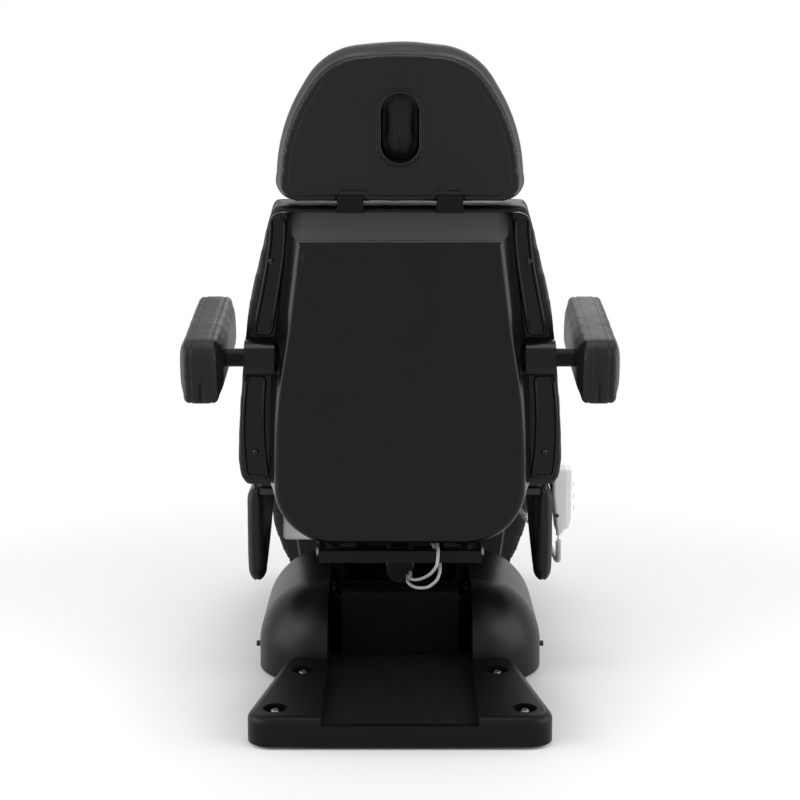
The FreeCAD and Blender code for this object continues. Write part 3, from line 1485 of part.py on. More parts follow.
def build_lift():
    """Arms, links and the actuator that raises them."""
    save("lift_arm", [lift_arm()])
    save("lift_arm_bushes", bushes((arm_base, arm_top), arm_x, arm_thick))
    save("lift_links", [lift_links()])
    save("lift_link_bushes", bushes((link_base, link_top), link_x, link_thick))
    save("lift_actuator_housing", [actuator_housing(lift_anchor, lift_pin, lift_actuator_x, lift_tube_end, -1,
                                                    lift_motor_radius, lift_motor_length)])
    save("lift_actuator_rod", [actuator_rod(lift_anchor, lift_pin, lift_actuator_x, lift_rod_start,
                                            lift_eye_play, lift_eye_offset)])


def build_seat():
    """Carriage, seat, wings and what hangs under the seat."""
    save("lift_carriage", [lift_carriage()])
    outer = side_plate_x + side_plate_thick
    save("carriage_pins", stub_pins(*arm_top, arm_x - overrun, outer, lift_pin_head)
         + stub_pins(*link_top, link_x - overrun, outer, lift_pin_head))
    save("seat_frame", [seat_frame()])
    board = block(-seat_board_half, seat_board_half, seat_rear + overrun, seat_rail_front, seat_frame_top,
                  seat_frame_top + seat_board_thick)
    save("seat_board", [board])
    save("seat_cushion", [seat_cushion()])
    wing = side_wing()
    save("wing_right", [wing])
    save("wing_left", [mirrored(wing)])
    save("wing_straps", wing_straps())
    save("control_box", [control_box()])
    save("cord_sockets", [power_inlet(), handset_socket()])
    pin_half = (back_ear_thick + side_play + side_plate_thick) / 2
    middle = side_plate_x + pin_half
    knee_end = knee_ear_x + 2 * knee_ear_thick + side_play
    save("hinge_pins", pair(round_x(hinge_pin_radius, middle - pin_half, middle + pin_half, 0, hinge_height))
         + pair(round_x(hinge_pin_radius, knee_ear_x, knee_end, knee_setback, knee_height)))
    save("leg_actuator_housing", [actuator_housing(leg_anchor, leg_pin, leg_actuator_x, leg_tube_end, -1,
                                                   actuator_motor_radius, actuator_motor_length)])
    save("leg_actuator_rod", [actuator_rod(leg_anchor, leg_pin, leg_actuator_x, leg_rod_start,
                                           leg_eye_play, leg_eye_offset)])
    save("back_actuator_housing", [actuator_housing(back_anchor, back_pin, back_actuator_x, back_tube_end, 1,
                                                    back_motor_radius, back_motor_length)])
    save("back_actuator_rod", [actuator_rod(back_anchor, back_pin, back_actuator_x, back_rod_start,
                                            back_eye_play, back_eye_offset)])
    save("actuator_anchor_pins", [pin_x(*leg_anchor, leg_actuator_x, fork_outer),
                                  pin_x(*back_anchor, back_actuator_x, fork_outer)])


def build_handset():
    """Handset, its holder, keys and curly cord, and the motors' cables."""
    back, front = handset_shells()
    save("handset_back", [back])
    save("handset_front", [front])
    for index, (y, z) in enumerate(button_places()):
        save(f"handset_button_{index + 1}", [button(y, z)])
    save("handset_holder", [handset_holder()])
    save("cord_strain_relief", [strain_relief()])
    save("handset_cord", [curly_cord()])
    save("motor_cables", [cable(route, cable_radius) for route in cable_routes])


def build_back():
    """Back, armrests and headrest."""
    save("back_frame", [in_back(back_frame())])
    save("back_shell", [in_back(back_shell())])
    board = block(-back_board_half, back_board_half, shell_flange_thick, shell_flange_thick + back_board_thick,
                  back_board_bottom, back_board_top)
    save("back_board", [in_back(board)])
    save("back_cushion", [in_back(back_cushion())])
    heads = screws(((screw_upper_x, screw_upper), (screw_lower_x, screw_lower)), 0)
    save("shell_screws", [in_back(head) for head in heads])
    save("armrest_sleeves", [in_back(shape) for shape in pair(armrest_sleeve())])
    rod = round_x(arm_rod_radius, arm_sleeve_inner + arm_sleeve_end + seat_gap, armrest_inner + armrest_bore_depth,
                  arm_rod_back, arm_rod_height)
    pad = armrest_pad()
    save("armrest_rod_right", [in_back(rod)])
    save("armrest_rod_left", [in_back(mirrored(rod))])
    save("armrest_pad_right", [in_back(pad)])
    save("armrest_pad_left", [in_back(mirrored(pad))])
    save("headrest_board", [in_back(headrest_board())])
    save("headrest_pad", [in_back(headrest_pad())])
    save("headrest_posts", [in_back(post) for post in headrest_posts()])
    save("face_plug", [in_back(face_plug())])


def build_leg():
    """Leg rest."""
    save("leg_frame", [in_leg(leg_frame())])
    save("leg_shell", [in_leg(leg_shell())])
    board = leg_plan(leg_shell_inset, leg_start + overrun, leg_length - seat_end_round, leg_bar_height,
                     leg_bar_height + leg_board_thick)
    save("leg_board", [in_leg(board)])
    save("leg_cushion", [in_leg(leg_cushion())])


os.makedirs("parts", exist_ok=True)
build_base()
build_lift()
build_seat()
build_handset()
build_back()
build_leg()
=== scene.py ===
import math

import bmesh
import bpy
import numpy as np
from mathutils import Matrix, Vector
from mathutils.bvhtree import BVHTree
from mathutils.kdtree import KDTree


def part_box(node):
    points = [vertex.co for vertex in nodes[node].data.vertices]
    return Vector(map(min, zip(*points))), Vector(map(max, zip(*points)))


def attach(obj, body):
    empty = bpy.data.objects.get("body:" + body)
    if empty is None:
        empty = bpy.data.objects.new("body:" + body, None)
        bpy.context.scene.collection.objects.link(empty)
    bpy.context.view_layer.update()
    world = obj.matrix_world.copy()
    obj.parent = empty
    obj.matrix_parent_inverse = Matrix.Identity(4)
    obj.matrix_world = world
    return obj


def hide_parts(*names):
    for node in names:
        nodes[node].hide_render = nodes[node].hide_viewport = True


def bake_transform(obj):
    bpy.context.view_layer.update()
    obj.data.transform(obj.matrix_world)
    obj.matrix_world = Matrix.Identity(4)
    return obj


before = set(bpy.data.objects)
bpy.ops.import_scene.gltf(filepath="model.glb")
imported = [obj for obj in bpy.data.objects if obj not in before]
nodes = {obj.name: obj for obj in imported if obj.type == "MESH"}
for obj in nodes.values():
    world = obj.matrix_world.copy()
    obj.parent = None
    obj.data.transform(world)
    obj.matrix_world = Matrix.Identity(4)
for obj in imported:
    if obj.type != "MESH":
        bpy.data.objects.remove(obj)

scene = bpy.context.scene
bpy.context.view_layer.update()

# Studio
# A white paper floor under soft light, with a long lens square to the chair's back and a little above its
# seat. The camera looks slightly down, and a small shift keeps the chair in the middle of the frame.

camera_place = (0, -3.327, 1.163)
camera_tilt = math.radians(82.70)
lens_mm = 70.38
lens_shift = -0.10
room_light = 0.45

camera = bpy.data.objects.new("camera", bpy.data.cameras.new("camera"))
camera.data.lens = lens_mm
camera.data.shift_y = lens_shift
camera.location = camera_place
camera.rotation_euler = (camera_tilt, 0, 0)
scene.collection.objects.link(camera)
scene.camera = camera
scene.view_settings.view_transform = "Standard"


def linear(colour):
    """An sRGB hex colour as linear red, green, blue and alpha."""
    shares = [int(colour[place:place + 2], 16) / 255 for place in (1, 3, 5)]
    return [s / 12.92 if s <= 0.04045 else ((s + 0.055) / 1.055) ** 2.4 for s in shares] + [1.0]


def add(tree, kind, inputs=None, **settings):
    """Adds a node with its settings, and sets its inputs or links them to another node's output."""
    made = tree.nodes.new(kind)
    for name, value in settings.items():
        setattr(made, name, value)
    for socket, value in (inputs or {}).items():
        if isinstance(value, bpy.types.NodeSocket):
            tree.links.new(value, made.inputs[socket])
        else:
            made.inputs[socket].default_value = value
    return made


def seen_directly(tree):
    """An output that is 1 for what the eye sees straight on, in gloss or through glass."""
    rays = add(tree, "ShaderNodeLightPath").outputs
    eye_or_gloss = {0: rays["Is Camera Ray"], 1: rays["Is Glossy Ray"]}
    straight = add(tree, "ShaderNodeMath", eye_or_gloss, operation="MAXIMUM").outputs[0]
    any_of_them = {0: straight, 1: rays["Is Transmission Ray"]}
    return add(tree, "ShaderNodeMath", any_of_them, operation="MAXIMUM").outputs[0]


scene.world = bpy.data.worlds.new("white_studio")
scene.world.use_nodes = True
tree = scene.world.node_tree
tree.nodes.clear()
room = add(tree, "ShaderNodeBackground", {"Color": linear("#f4f6fa"), "Strength": room_light})
backdrop = add(tree, "ShaderNodeBackground", {"Color": linear("#ffffff"), "Strength": 1.0})
around = {0: seen_directly(tree), 1: room.outputs[0], 2: backdrop.outputs[0]}
mixed = add(tree, "ShaderNodeMixShader", around)
add(tree, "ShaderNodeOutputWorld", {"Surface": mixed.outputs[0]})

for name, place, aim, width, height, power in (
    ("left_softbox", (-2.7, -2.1, 2.2), (0, -0.3, 0.7), 1.5, 1.5, 30),
    ("right_softbox", (2.7, -2.1, 2.2), (0, -0.3, 0.7), 1.5, 1.5, 26),
    ("left_panel", (-1.7, -0.6, 0.65), (0, -0.5, 0.65), 1.3, 1.2, 15),
    ("right_panel", (1.7, -0.6, 0.65), (0, -0.5, 0.65), 1.3, 1.2, 15),
    ("top_softbox", (0, -0.7, 3.2), (0, -0.4, 0), 1.8, 1.2, 26),
    ("front_softbox", (0.4, 3.2, 2.4), (0, 0, 0.5), 2.0, 2.0, 26),
):
    lamp = bpy.data.lights.new(name, "AREA")
    lamp.shape = "RECTANGLE"
    lamp.size = width
    lamp.size_y = height
    lamp.energy = power
    stand = bpy.data.objects.new(name, lamp)
    stand.location = place
    stand.rotation_euler = (Vector(aim) - Vector(place)).to_track_quat("-Z", "Y").to_euler()
    stand.visible_camera = False
    scene.collection.objects.link(stand)


def finish(name):
    """A new material, its node tree, its shader and its Object coordinates."""
    made = bpy.data.materials.new(name)
    made.use_nodes = True
    place = add(made.node_tree, "ShaderNodeTexCoord").outputs["Object"]
    return made, made.node_tree, made.node_tree.nodes["Principled BSDF"], place


# White paper, quite matt. It fades to the backdrop's white away from the chair, so that the floor has no far
# edge, and keeps the chair's shadow near it.
floor_reach = 9.0
fade_start = 0.55
fade_end = 1.5
paper, tree, shader, place = finish("white_paper")
shader.inputs["Base Color"].default_value = linear("#f6f6f6")
shader.inputs["Roughness"].default_value = 0.9
reach = add(tree, "ShaderNodeVectorMath", {0: place}, operation="LENGTH").outputs["Value"]
fading = {"Value": reach, "From Min": fade_start, "From Max": fade_end}
fade = add(tree, "ShaderNodeMapRange", fading).outputs[0]
share = add(tree, "ShaderNodeMath", {0: fade, 1: seen_directly(tree)}, operation="MULTIPLY").outputs[0]
glow = add(tree, "ShaderNodeEmission", {"Color": linear("#ffffff"), "Strength": 1.0})
mixed = add(tree, "ShaderNodeMixShader", {0: share, 1: shader.outputs[0], 2: glow.outputs[0]})
tree.links.new(mixed.outputs[0], tree.nodes["Material Output"].inputs["Surface"])

floor_mesh = bpy.data.meshes.new("floor")
corners = [(x * floor_reach, y * floor_reach, 0) for x, y in ((-1, -1), (1, -1), (1, 1), (-1, 1))]
floor_mesh.from_pydata(corners, [], [(0, 1, 2, 3)])
floor_mesh.materials.append(paper)
floor = bpy.data.objects.new("floor", floor_mesh)
scene.collection.objects.link(floor)

# Base frame and lift linkage
# Welded steel rails and towers, arms, links and carriage, and the frames of the seat, back and leg rest, all
# powder coated black. Powder coat flows out to a faint orange peel, a little glossier where it is thin.


def wear(material, *names):
    """Gives CAD nodes their finish."""
    for name in names:
        nodes[name].data.materials.clear()
        nodes[name].data.materials.append(material)


per_mm = 1000.0
powder_coat, tree, shader, place = finish("powder_coated_steel")
peel = add(tree, "ShaderNodeTexNoise", {"Vector": place, "Scale": per_mm / 3.0, "Detail": 1.0})
cloud = add(tree, "ShaderNodeTexNoise", {"Vector": place, "Scale": per_mm / 60.0, "Detail": 3.0})
tone = {0: cloud.outputs[0], 6: linear("#060607"), 7: linear("#0e0e0f")}
tree.links.new(add(tree, "ShaderNodeMix", tone, data_type="RGBA").outputs[2], shader.inputs["Base Color"])
gloss = add(tree, "ShaderNodeMapRange", {"Value": cloud.outputs[0], "To Min": 0.36, "To Max": 0.52})
tree.links.new(gloss.outputs[0], shader.inputs["Roughness"])
shader.inputs["Specular IOR Level"].default_value = 0.14
bump = add(tree, "ShaderNodeBump", {"Height": peel.outputs[0], "Strength": 0.5, "Distance": 0.0002})
tree.links.new(bump.outputs[0], shader.inputs["Normal"])
wear(powder_coat, "base_frame", "lift_arm", "lift_links", "lift_carriage", "seat_frame", "wing_straps",
     "back_frame", "armrest_sleeves", "armrest_rod_right", "armrest_rod_left", "headrest_posts",
     "leg_frame", "handset_holder")

# The guard is powder coated like the frames; this darker, duller copy is painted shade, for the deep shade it
# sits in.
guard_painted_shade, tree, shader, place = finish("guard_steel_painted_shade")
dust = add(tree, "ShaderNodeTexNoise", {"Vector": place, "Scale": per_mm / 35.0, "Detail": 5.0})
tone = {0: dust.outputs[0], 6: linear("#040404"), 7: linear("#0c0c0c")}
tree.links.new(add(tree, "ShaderNodeMix", tone, data_type="RGBA").outputs[2], shader.inputs["Base Color"])
shader.inputs["Roughness"].default_value = 0.55
shader.inputs["Specular IOR Level"].default_value = 0.06
wear(guard_painted_shade, "mechanism_guard")

# Pins and bolts
# Turned steel, zinc plated and passivated: a dull bluish grey with cloudy patches.
# The bushes are sintered bronze, darkened by oil.

zinc, tree, shader, place = finish("zinc_plated_steel")
shader.inputs["Metallic"].default_value = 1.0
cloud = add(tree, "ShaderNodeTexNoise", {"Vector": place, "Scale": per_mm / 6.0, "Detail": 4.0})
tone = {0: cloud.outputs[0], 6: linear("#6c7073"), 7: linear("#94989a")}
tree.links.new(add(tree, "ShaderNodeMix", tone, data_type="RGBA").outputs[2], shader.inputs["Base Color"])
gloss = add(tree, "ShaderNodeMapRange", {"Value": cloud.outputs[0], "To Min": 0.24, "To Max": 0.42})
tree.links.new(gloss.outputs[0], shader.inputs["Roughness"])
wear(zinc, "lift_base_pins", "carriage_pins", "hinge_pins", "actuator_anchor_pins", "guard_bolts",
     "lift_actuator_rod", "leg_actuator_rod", "back_actuator_rod")

bronze, tree, shader, place = finish("sintered_bronze")
shader.inputs["Metallic"].default_value = 1.0
pores = add(tree, "ShaderNodeTexNoise", {"Vector": place, "Scale": per_mm / 0.8, "Detail": 2.0})
tone = {0: pores.outputs[0], 6: linear("#3a2d1c"), 7: linear("#5c4a30")}
tree.links.new(add(tree, "ShaderNodeMix", tone, data_type="RGBA").outputs[2], shader.inputs["Base Color"])
shader.inputs["Roughness"].default_value = 0.45
wear(bronze, "lift_arm_bushes", "lift_link_bushes")

# Base covers
# Two ABS mouldings, a flat platform behind and a dome with a slot in front, drawn from textured moulds.
# Spark-eroded mould texture gives a fine satin grain; it is drawn 2 mm wide so that it shows.

moulded_abs, tree, shader, place = finish("moulded_abs")
grain = add(tree, "ShaderNodeTexNoise", {"Vector": place, "Scale": per_mm / 2.0, "Detail": 2.0})
cloud = add(tree, "ShaderNodeTexNoise", {"Vector": place, "Scale": per_mm / 90.0, "Detail": 3.0})
tone = {0: cloud.outputs[0], 6: linear("#070708"), 7: linear("#0e0e0f")}
tree.links.new(add(tree, "ShaderNodeMix", tone, data_type="RGBA").outputs[2], shader.inputs["Base Color"])
gloss = add(tree, "ShaderNodeMapRange", {"Value": cloud.outputs[0], "To Min": 0.32, "To Max": 0.42})
tree.links.new(gloss.outputs[0], shader.inputs["Roughness"])
shader.inputs["Specular IOR Level"].default_value = 0.18
bump = add(tree, "ShaderNodeBump", {"Height": grain.outputs[0], "Strength": 0.25, "Distance": 0.0002})
tree.links.new(bump.outputs[0], shader.inputs["Normal"])
wear(moulded_abs, "base_dome_cover", "leg_shell")

# The platform's sunk channel is scuffed along its length by feet, so it is dull there, with streaks of dust.
channel_half = 0.147
channel_floor = 0.0475
channel_rear = -0.53
scuffed_abs = moulded_abs.copy()
scuffed_abs.name = "moulded_abs_scuffed"
tree = scuffed_abs.node_tree
shader = tree.nodes["Principled BSDF"]
place = tree.nodes["Texture Coordinate"].outputs["Object"]
shader.inputs["Specular IOR Level"].default_value = 0.13
axes = add(tree, "ShaderNodeSeparateXYZ", {0: place}).outputs
side = add(tree, "ShaderNodeMath", {0: axes["X"]}, operation="ABSOLUTE").outputs[0]
inside = add(tree, "ShaderNodeMath", {0: side, 1: channel_half}, operation="LESS_THAN").outputs[0]
low = add(tree, "ShaderNodeMath", {0: axes["Z"], 1: channel_floor}, operation="LESS_THAN").outputs[0]
lip = add(tree, "ShaderNodeMath", {0: axes["Y"], 1: channel_rear}, operation="GREATER_THAN").outputs[0]
sunk = add(tree, "ShaderNodeMath", {0: inside, 1: low}, operation="MULTIPLY").outputs[0]
worn = add(tree, "ShaderNodeMath", {0: sunk, 1: lip}, operation="MULTIPLY").outputs[0]
along = add(tree, "ShaderNodeMapping", {"Vector": place, "Scale": (1.0, 0.12, 1.0)}).outputs[0]
streaks = add(tree, "ShaderNodeTexNoise", {"Vector": along, "Scale": per_mm / 12.0, "Detail": 5.0}).outputs[0]
thickest = {"Value": streaks, "From Min": 0.5, "From Max": 0.85, "To Max": 0.35}
dust = add(tree, "ShaderNodeMapRange", thickest).outputs[0]
dusty = add(tree, "ShaderNodeMath", {0: dust, 1: worn}, operation="MULTIPLY").outputs[0]
black = shader.inputs["Base Color"].links[0].from_socket
tone = {0: dusty, 6: black, 7: linear("#242322")}
tree.links.new(add(tree, "ShaderNodeMix", tone, data_type="RGBA").outputs[2], shader.inputs["Base Color"])
satin = shader.inputs["Roughness"].links[0].from_socket
dull = add(tree, "ShaderNodeMix", {0: worn, 2: satin, 3: 0.7}).outputs[0]
tree.links.new(dull, shader.inputs["Roughness"])
wear(scuffed_abs, "base_rear_cover")

# The feet and sockets are moulded rubber, matt, with a faint grey bloom.
rubber, tree, shader, place = finish("moulded_rubber")
bloom = add(tree, "ShaderNodeTexNoise", {"Vector": place, "Scale": per_mm / 9.0, "Detail": 4.0})
tone = {0: bloom.outputs[0], 6: linear("#151515"), 7: linear("#262625")}
tree.links.new(add(tree, "ShaderNodeMix", tone, data_type="RGBA").outputs[2], shader.inputs["Base Color"])
shader.inputs["Roughness"].default_value = 0.8
wear(rubber, "levelling_feet", "cord_sockets")

# Screws
# Black oxided button heads hold the covers and the back's shell, each with a hexagon socket for its key.
# One head is turned and broached, and set on each screw's place, square to the face that it holds.

black_oxide, tree, shader, place = finish("black_oxided_steel")
shader.inputs["Metallic"].default_value = 1.0
cloud = add(tree, "ShaderNodeTexNoise", {"Vector": place, "Scale": per_mm / 4.0, "Detail": 3.0})
tone = {0: cloud.outputs[0], 6: linear("#2a2a2c"), 7: linear("#434347")}
tree.links.new(add(tree, "ShaderNodeMix", tone, data_type="RGBA").outputs[2], shader.inputs["Base Color"])
shader.inputs["Roughness"].default_value = 0.3
wear(black_oxide, "cover_bolts")

# Rings of one head of radius 1, from its seat over its dome and down into its socket: radius, height, and
# whether the ring is six-sided.
head_rings = (
    (1.0, 0.0, False),
    (1.0, 0.14, False),
    (0.93, 0.36, False),
    (0.78, 0.52, False),
    (0.6, 0.6, False),
    (0.5, 0.6, True),
    (0.46, 0.56, True),
    (0.45, 0.2, True),
)
head_sides = 24
one_head = bmesh.new()
rings = []
for radius, height, six_sided in head_rings:
    ring = []
    for step in range(head_sides):
        angle = math.tau * step / head_sides
        flat = math.cos(math.pi / 6) / math.cos(angle % (math.pi / 3) - math.pi / 6) if six_sided else 1.0
        across = radius * flat
        ring.append(one_head.verts.new((across * math.cos(angle), across * math.sin(angle), height)))
    rings.append(ring)
for low, high in zip(rings, rings[1:]):
    for step in range(head_sides):
        one_head.faces.new((low[step - 1], low[step], high[step], high[step - 1]))
one_head.faces.new(rings[0][::-1])
one_head.faces.new(rings[-1])
bmesh.ops.recalc_face_normals(one_head, faces=one_head.faces)
head_mesh = bpy.data.meshes.new("button_head")
one_head.to_mesh(head_mesh)
one_head.free()
button_head = bpy.data.objects.new("button_head", head_mesh)

screw_heads = bpy.data.node_groups.new("screw_heads", "GeometryNodeTree")
screw_heads.interface.new_socket("Geometry", in_out="INPUT", socket_type="NodeSocketGeometry")
screw_heads.interface.new_socket("Radius", in_out="INPUT", socket_type="NodeSocketFloat")
screw_heads.interface.new_socket("Head", in_out="INPUT", socket_type="NodeSocketObject")
screw_heads.interface.new_socket("Steel", in_out="INPUT", socket_type="NodeSocketMaterial")
screw_heads.interface.new_socket("Geometry", in_out="OUTPUT", socket_type="NodeSocketGeometry")
entry = add(screw_heads, "NodeGroupInput").outputs
single = add(screw_heads, "GeometryNodeObjectInfo", {"Object": entry["Head"]}).outputs["Geometry"]
named = add(screw_heads, "GeometryNodeInputNamedAttribute", {"Name": "axis"}, data_type="FLOAT_VECTOR")
axis = named.outputs[0]
turn = add(screw_heads, "FunctionNodeAlignRotationToVector", {"Vector": axis}, axis="Z").outputs[0]
set_down = {"Points": entry["Geometry"], "Instance": single, "Rotation": turn, "Scale": entry["Radius"]}
row = add(screw_heads, "GeometryNodeInstanceOnPoints", set_down).outputs[0]
real = add(screw_heads, "GeometryNodeRealizeInstances", {0: row}).outputs[0]
plating = {"Geometry": real, "Material": entry["Steel"]}
plated = add(screw_heads, "GeometryNodeSetMaterial", plating).outputs[0]
add(screw_heads, "NodeGroupOutput", {0: plated})


def settle(piece):
    """Makes a piece's modifiers part of its mesh."""
    evaluated = piece.evaluated_get(bpy.context.evaluated_depsgraph_get())
    mesh = bpy.data.meshes.new_from_object(evaluated)
    piece.modifiers.clear()
    piece.data = mesh


def grow(name, mesh, tree, **sizes):
    """Runs a node tree on a mesh and keeps the result as a plain mesh."""
    piece = bpy.data.objects.new(name, mesh)
    scene.collection.objects.link(piece)
    modifier = piece.modifiers.new(tree.name, "NODES")
    modifier.node_group = tree
    for socket in tree.interface.items_tree:
        if socket.in_out == "INPUT" and socket.name in sizes:
            modifier[socket.identifier] = sizes[socket.name]
    settle(piece)
    return piece


def screws(name, spots, axis, radius, steel):
    """Button heads of one size, all facing one way."""
    mesh = bpy.data.meshes.new(name)
    mesh.from_pydata(spots, [], [])
    facing = mesh.attributes.new("axis", "FLOAT_VECTOR", "POINT")
    facing.data.foreach_set("vector", list(axis) * len(spots))
    return grow(name, mesh, screw_heads, Radius=radius, Head=button_head, Steel=steel)


# The back's own frame starts at its hinge and leans with the back: across, out of the back, and up along it.
hinge_place = (0, -0.380, 0.440)
back_tilt = math.radians(12)
back_frame = Matrix.Translation(hinge_place) @ Matrix.Rotation(back_tilt, 4, "X")
out_of_back = back_frame.to_3x3() @ Vector((0, 1, 0))
shell_screw_spots = ((0.236, 0.477), (0.275, 0.096))
screw_places = [back_frame @ Vector((side * x, 0, u)) for side in (1, -1) for x, u in shell_screw_spots]
shell_screws = screws("shell_screw_heads", screw_places, -out_of_back, radius=0.006, steel=black_oxide)
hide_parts("shell_screws")
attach(shell_screws, "back")

well_spots = ((0.236, -0.492), (0.196, -0.285))
well_floor = 0.054
well_places = [(side * x, y, well_floor) for side in (1, -1) for x, y in well_spots]
well_heads = screws("well_bolt_heads", well_places, (0, 0, 1), radius=0.0085, steel=zinc)
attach(well_heads, "base")

# Actuators
# A die-cast housing with its motor and gears, coated like the frames, on a pin at its foot.
# The leg's motor end shows under the seat.

wear(powder_coat, "lift_actuator_housing", "leg_actuator_housing", "back_actuator_housing")

# Boards
# Birch plywood screwed to the frame under each cushion, with the grain along the chair.
# It is stained black so that its edges don't show, and the stain leaves the grain a little browner.

plywood, tree, shader, place = finish("black_stained_plywood")
along = add(tree, "ShaderNodeMapping", {"Vector": place, "Scale": (1.0, 0.06, 0.06)}).outputs[0]
grain = add(tree, "ShaderNodeTexNoise", {"Vector": along, "Scale": per_mm / 5.0, "Detail": 5.0})
tone = {0: grain.outputs[0], 6: linear("#0d0b09"), 7: linear("#1d1813")}
tree.links.new(add(tree, "ShaderNodeMix", tone, data_type="RGBA").outputs[2], shader.inputs["Base Color"])
shader.inputs["Roughness"].default_value = 0.6
wear(plywood, "seat_board", "back_board", "leg_board")

# Motor cables and curly cord
# Extruded pale grey PVC, smooth and slightly cloudy. The handset's cord leaves the handset's lower end, hangs
# in a loop below the wing and goes up to its socket under the seat. It is wound in curls, about 2.2 m of wire
# on a route of 0.37 m.

pvc, tree, shader, place = finish("pale_grey_pvc")
cloud = add(tree, "ShaderNodeTexNoise", {"Vector": place, "Scale": per_mm / 8.0, "Detail": 3.0})
tone = {0: cloud.outputs[0], 6: linear("#a9a9a6"), 7: linear("#bdbdba")}
tree.links.new(add(tree, "ShaderNodeMix", tone, data_type="RGBA").outputs[2], shader.inputs["Base Color"])
shader.inputs["Roughness"].default_value = 0.42
wear(pvc, "motor_cables", "cord_strain_relief")


def tube(name, line, radii, sides, closed=False):
    """A round tube along a line of points, with one radius for each point."""
    line = [Vector(point) for point in line]
    count = len(line)
    skin = bmesh.new()
    rings = []
    side = None
    for index in range(count):
        before = line[index - 1] if index or closed else line[0]
        after = line[(index + 1) % count] if index + 1 < count or closed else line[-1]
        ahead = (after - before).normalized()
        side = ahead.orthogonal() if side is None else side - ahead * side.dot(ahead)
        side.normalize()
        up = ahead.cross(side)
        ring = []
        for step in range(sides):
            angle = math.tau * step / sides
            out = side * math.cos(angle) + up * math.sin(angle)
            ring.append(skin.verts.new(line[index] + out * radii[index]))
        rings.append(ring)
    pairs = list(zip(rings, rings[1:])) + ([(rings[-1], rings[0])] if closed else [])
    for near, far in pairs:
        for step in range(sides):
            skin.faces.new((near[step], near[step - 1], far[step - 1], far[step]))
    if not closed:
        skin.faces.new(rings[0])
        skin.faces.new(rings[-1][::-1])
    bmesh.ops.recalc_face_normals(skin, faces=skin.faces)
    mesh = bpy.data.meshes.new(name)
    skin.to_mesh(mesh)
    skin.free()
    mesh.polygons.foreach_set("use_smooth", [True] * len(mesh.polygons))
    piece = bpy.data.objects.new(name, mesh)
    scene.collection.objects.link(piece)
    return piece


def spaced(line, step, closed=False):
    """The points of a line, set out again about one step apart."""
    points = np.array(line + line[:1] if closed else line, float)
    runs = np.concatenate([[0], np.cumsum(np.linalg.norm(np.diff(points, axis=0), axis=1))])
    marks = np.linspace(0, runs[-1], max(3, round(runs[-1] / step)) + 1)
    marks = marks[:-1] if closed else marks
    return [Vector([np.interp(mark, runs, points[:, axis]) for axis in range(3)]) for mark in marks]


cord_route = [
    (0.334, -0.112, 0.294),
    (0.334, -0.111, 0.268),
    (0.337, -0.097, 0.240),
    (0.338, -0.062, 0.224),
    (0.336, -0.020, 0.224),
    (0.327, 0.022, 0.238),
    (0.303, 0.056, 0.262),
    (0.271, 0.076, 0.292),
    (0.251, 0.087, 0.328),
    (0.246, 0.090, 0.358),
    (0.246, 0.090, 0.384),
]
wire_radius = 0.0016
curl_radius = 0.0047
curl_count = 74
curl_steps = 16
cord_lead = 0.008
route_step = 0.0005
lead_skip = 4

route_curve = bpy.data.curves.new("cord_route", "CURVE")
route_curve.dimensions = "3D"
route_curve.resolution_u = 24
spline = route_curve.splines.new("NURBS")
spline.points.add(len(cord_route) - 1)
for point, spot in zip(spline.points, cord_route):
    point.co = (*spot, 1.0)
spline.order_u = 3
spline.use_endpoint_u = True
route = bpy.data.objects.new("cord_route", route_curve)
scene.collection.objects.link(route)
settled = route.evaluated_get(bpy.context.evaluated_depsgraph_get())
route_mesh = bpy.data.meshes.new_from_object(settled)
route_line = spaced([vertex.co.copy() for vertex in route_mesh.vertices], route_step)
bpy.data.objects.remove(route)

lead_count = round(cord_lead / route_step)
curled = route_line[lead_count:-lead_count]
steps = curl_count * curl_steps
cord_line = route_line[:lead_count:lead_skip]
side = Vector((1, 0, 0))
for step in range(steps + 1):
    along = step / steps * (len(curled) - 1)
    index = min(int(along), len(curled) - 2)
    ahead = (curled[index + 1] - curled[index]).normalized()
    side = (side - ahead * side.dot(ahead)).normalized()
    centre = curled[index].lerp(curled[index + 1], along - index)
    ease = min(1.0, step / curl_steps, (steps - step) / curl_steps)
    angle = math.tau * step / curl_steps
    out = side * math.cos(angle) + ahead.cross(side) * math.sin(angle)
    cord_line.append(centre + out * curl_radius * ease)
cord_line += route_line[-lead_count::lead_skip] + [route_line[-1]]
cord = tube("handset_curly_cord", cord_line, [wire_radius] * len(cord_line), sides=7)
cord.data.materials.append(pvc)
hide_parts("handset_cord")
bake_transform(cord)

# Seat cushion
# Foam on the seat's board under black leatherette, which is PVC with an embossed pebble grain, drawn 3 mm
# wide so that it shows. The cover is sewn from a top panel and a band, with stitches beside the seam.

leatherette, tree, shader, place = finish("black_leatherette")
pebble = add(tree, "ShaderNodeTexVoronoi", {"Vector": place, "Scale": per_mm / 3.0}, feature="SMOOTH_F1")
cloud = add(tree, "ShaderNodeTexNoise", {"Vector": place, "Scale": per_mm / 120.0, "Detail": 4.0})
folds = {"Vector": place, "Scale": per_mm / 55.0, "Detail": 3.0, "Distortion": 0.8}
rumple = add(tree, "ShaderNodeTexNoise", folds)
tone = {0: cloud.outputs[0], 6: linear("#0c0c0d"), 7: linear("#151516")}
tree.links.new(add(tree, "ShaderNodeMix", tone, data_type="RGBA").outputs[2], shader.inputs["Base Color"])
gloss = add(tree, "ShaderNodeMapRange", {"Value": cloud.outputs[0], "To Min": 0.36, "To Max": 0.5})
tree.links.new(gloss.outputs[0], shader.inputs["Roughness"])
shader.inputs["Specular IOR Level"].default_value = 0.23
slack = add(tree, "ShaderNodeBump", {"Height": rumple.outputs[0], "Strength": 0.5, "Distance": 0.003})
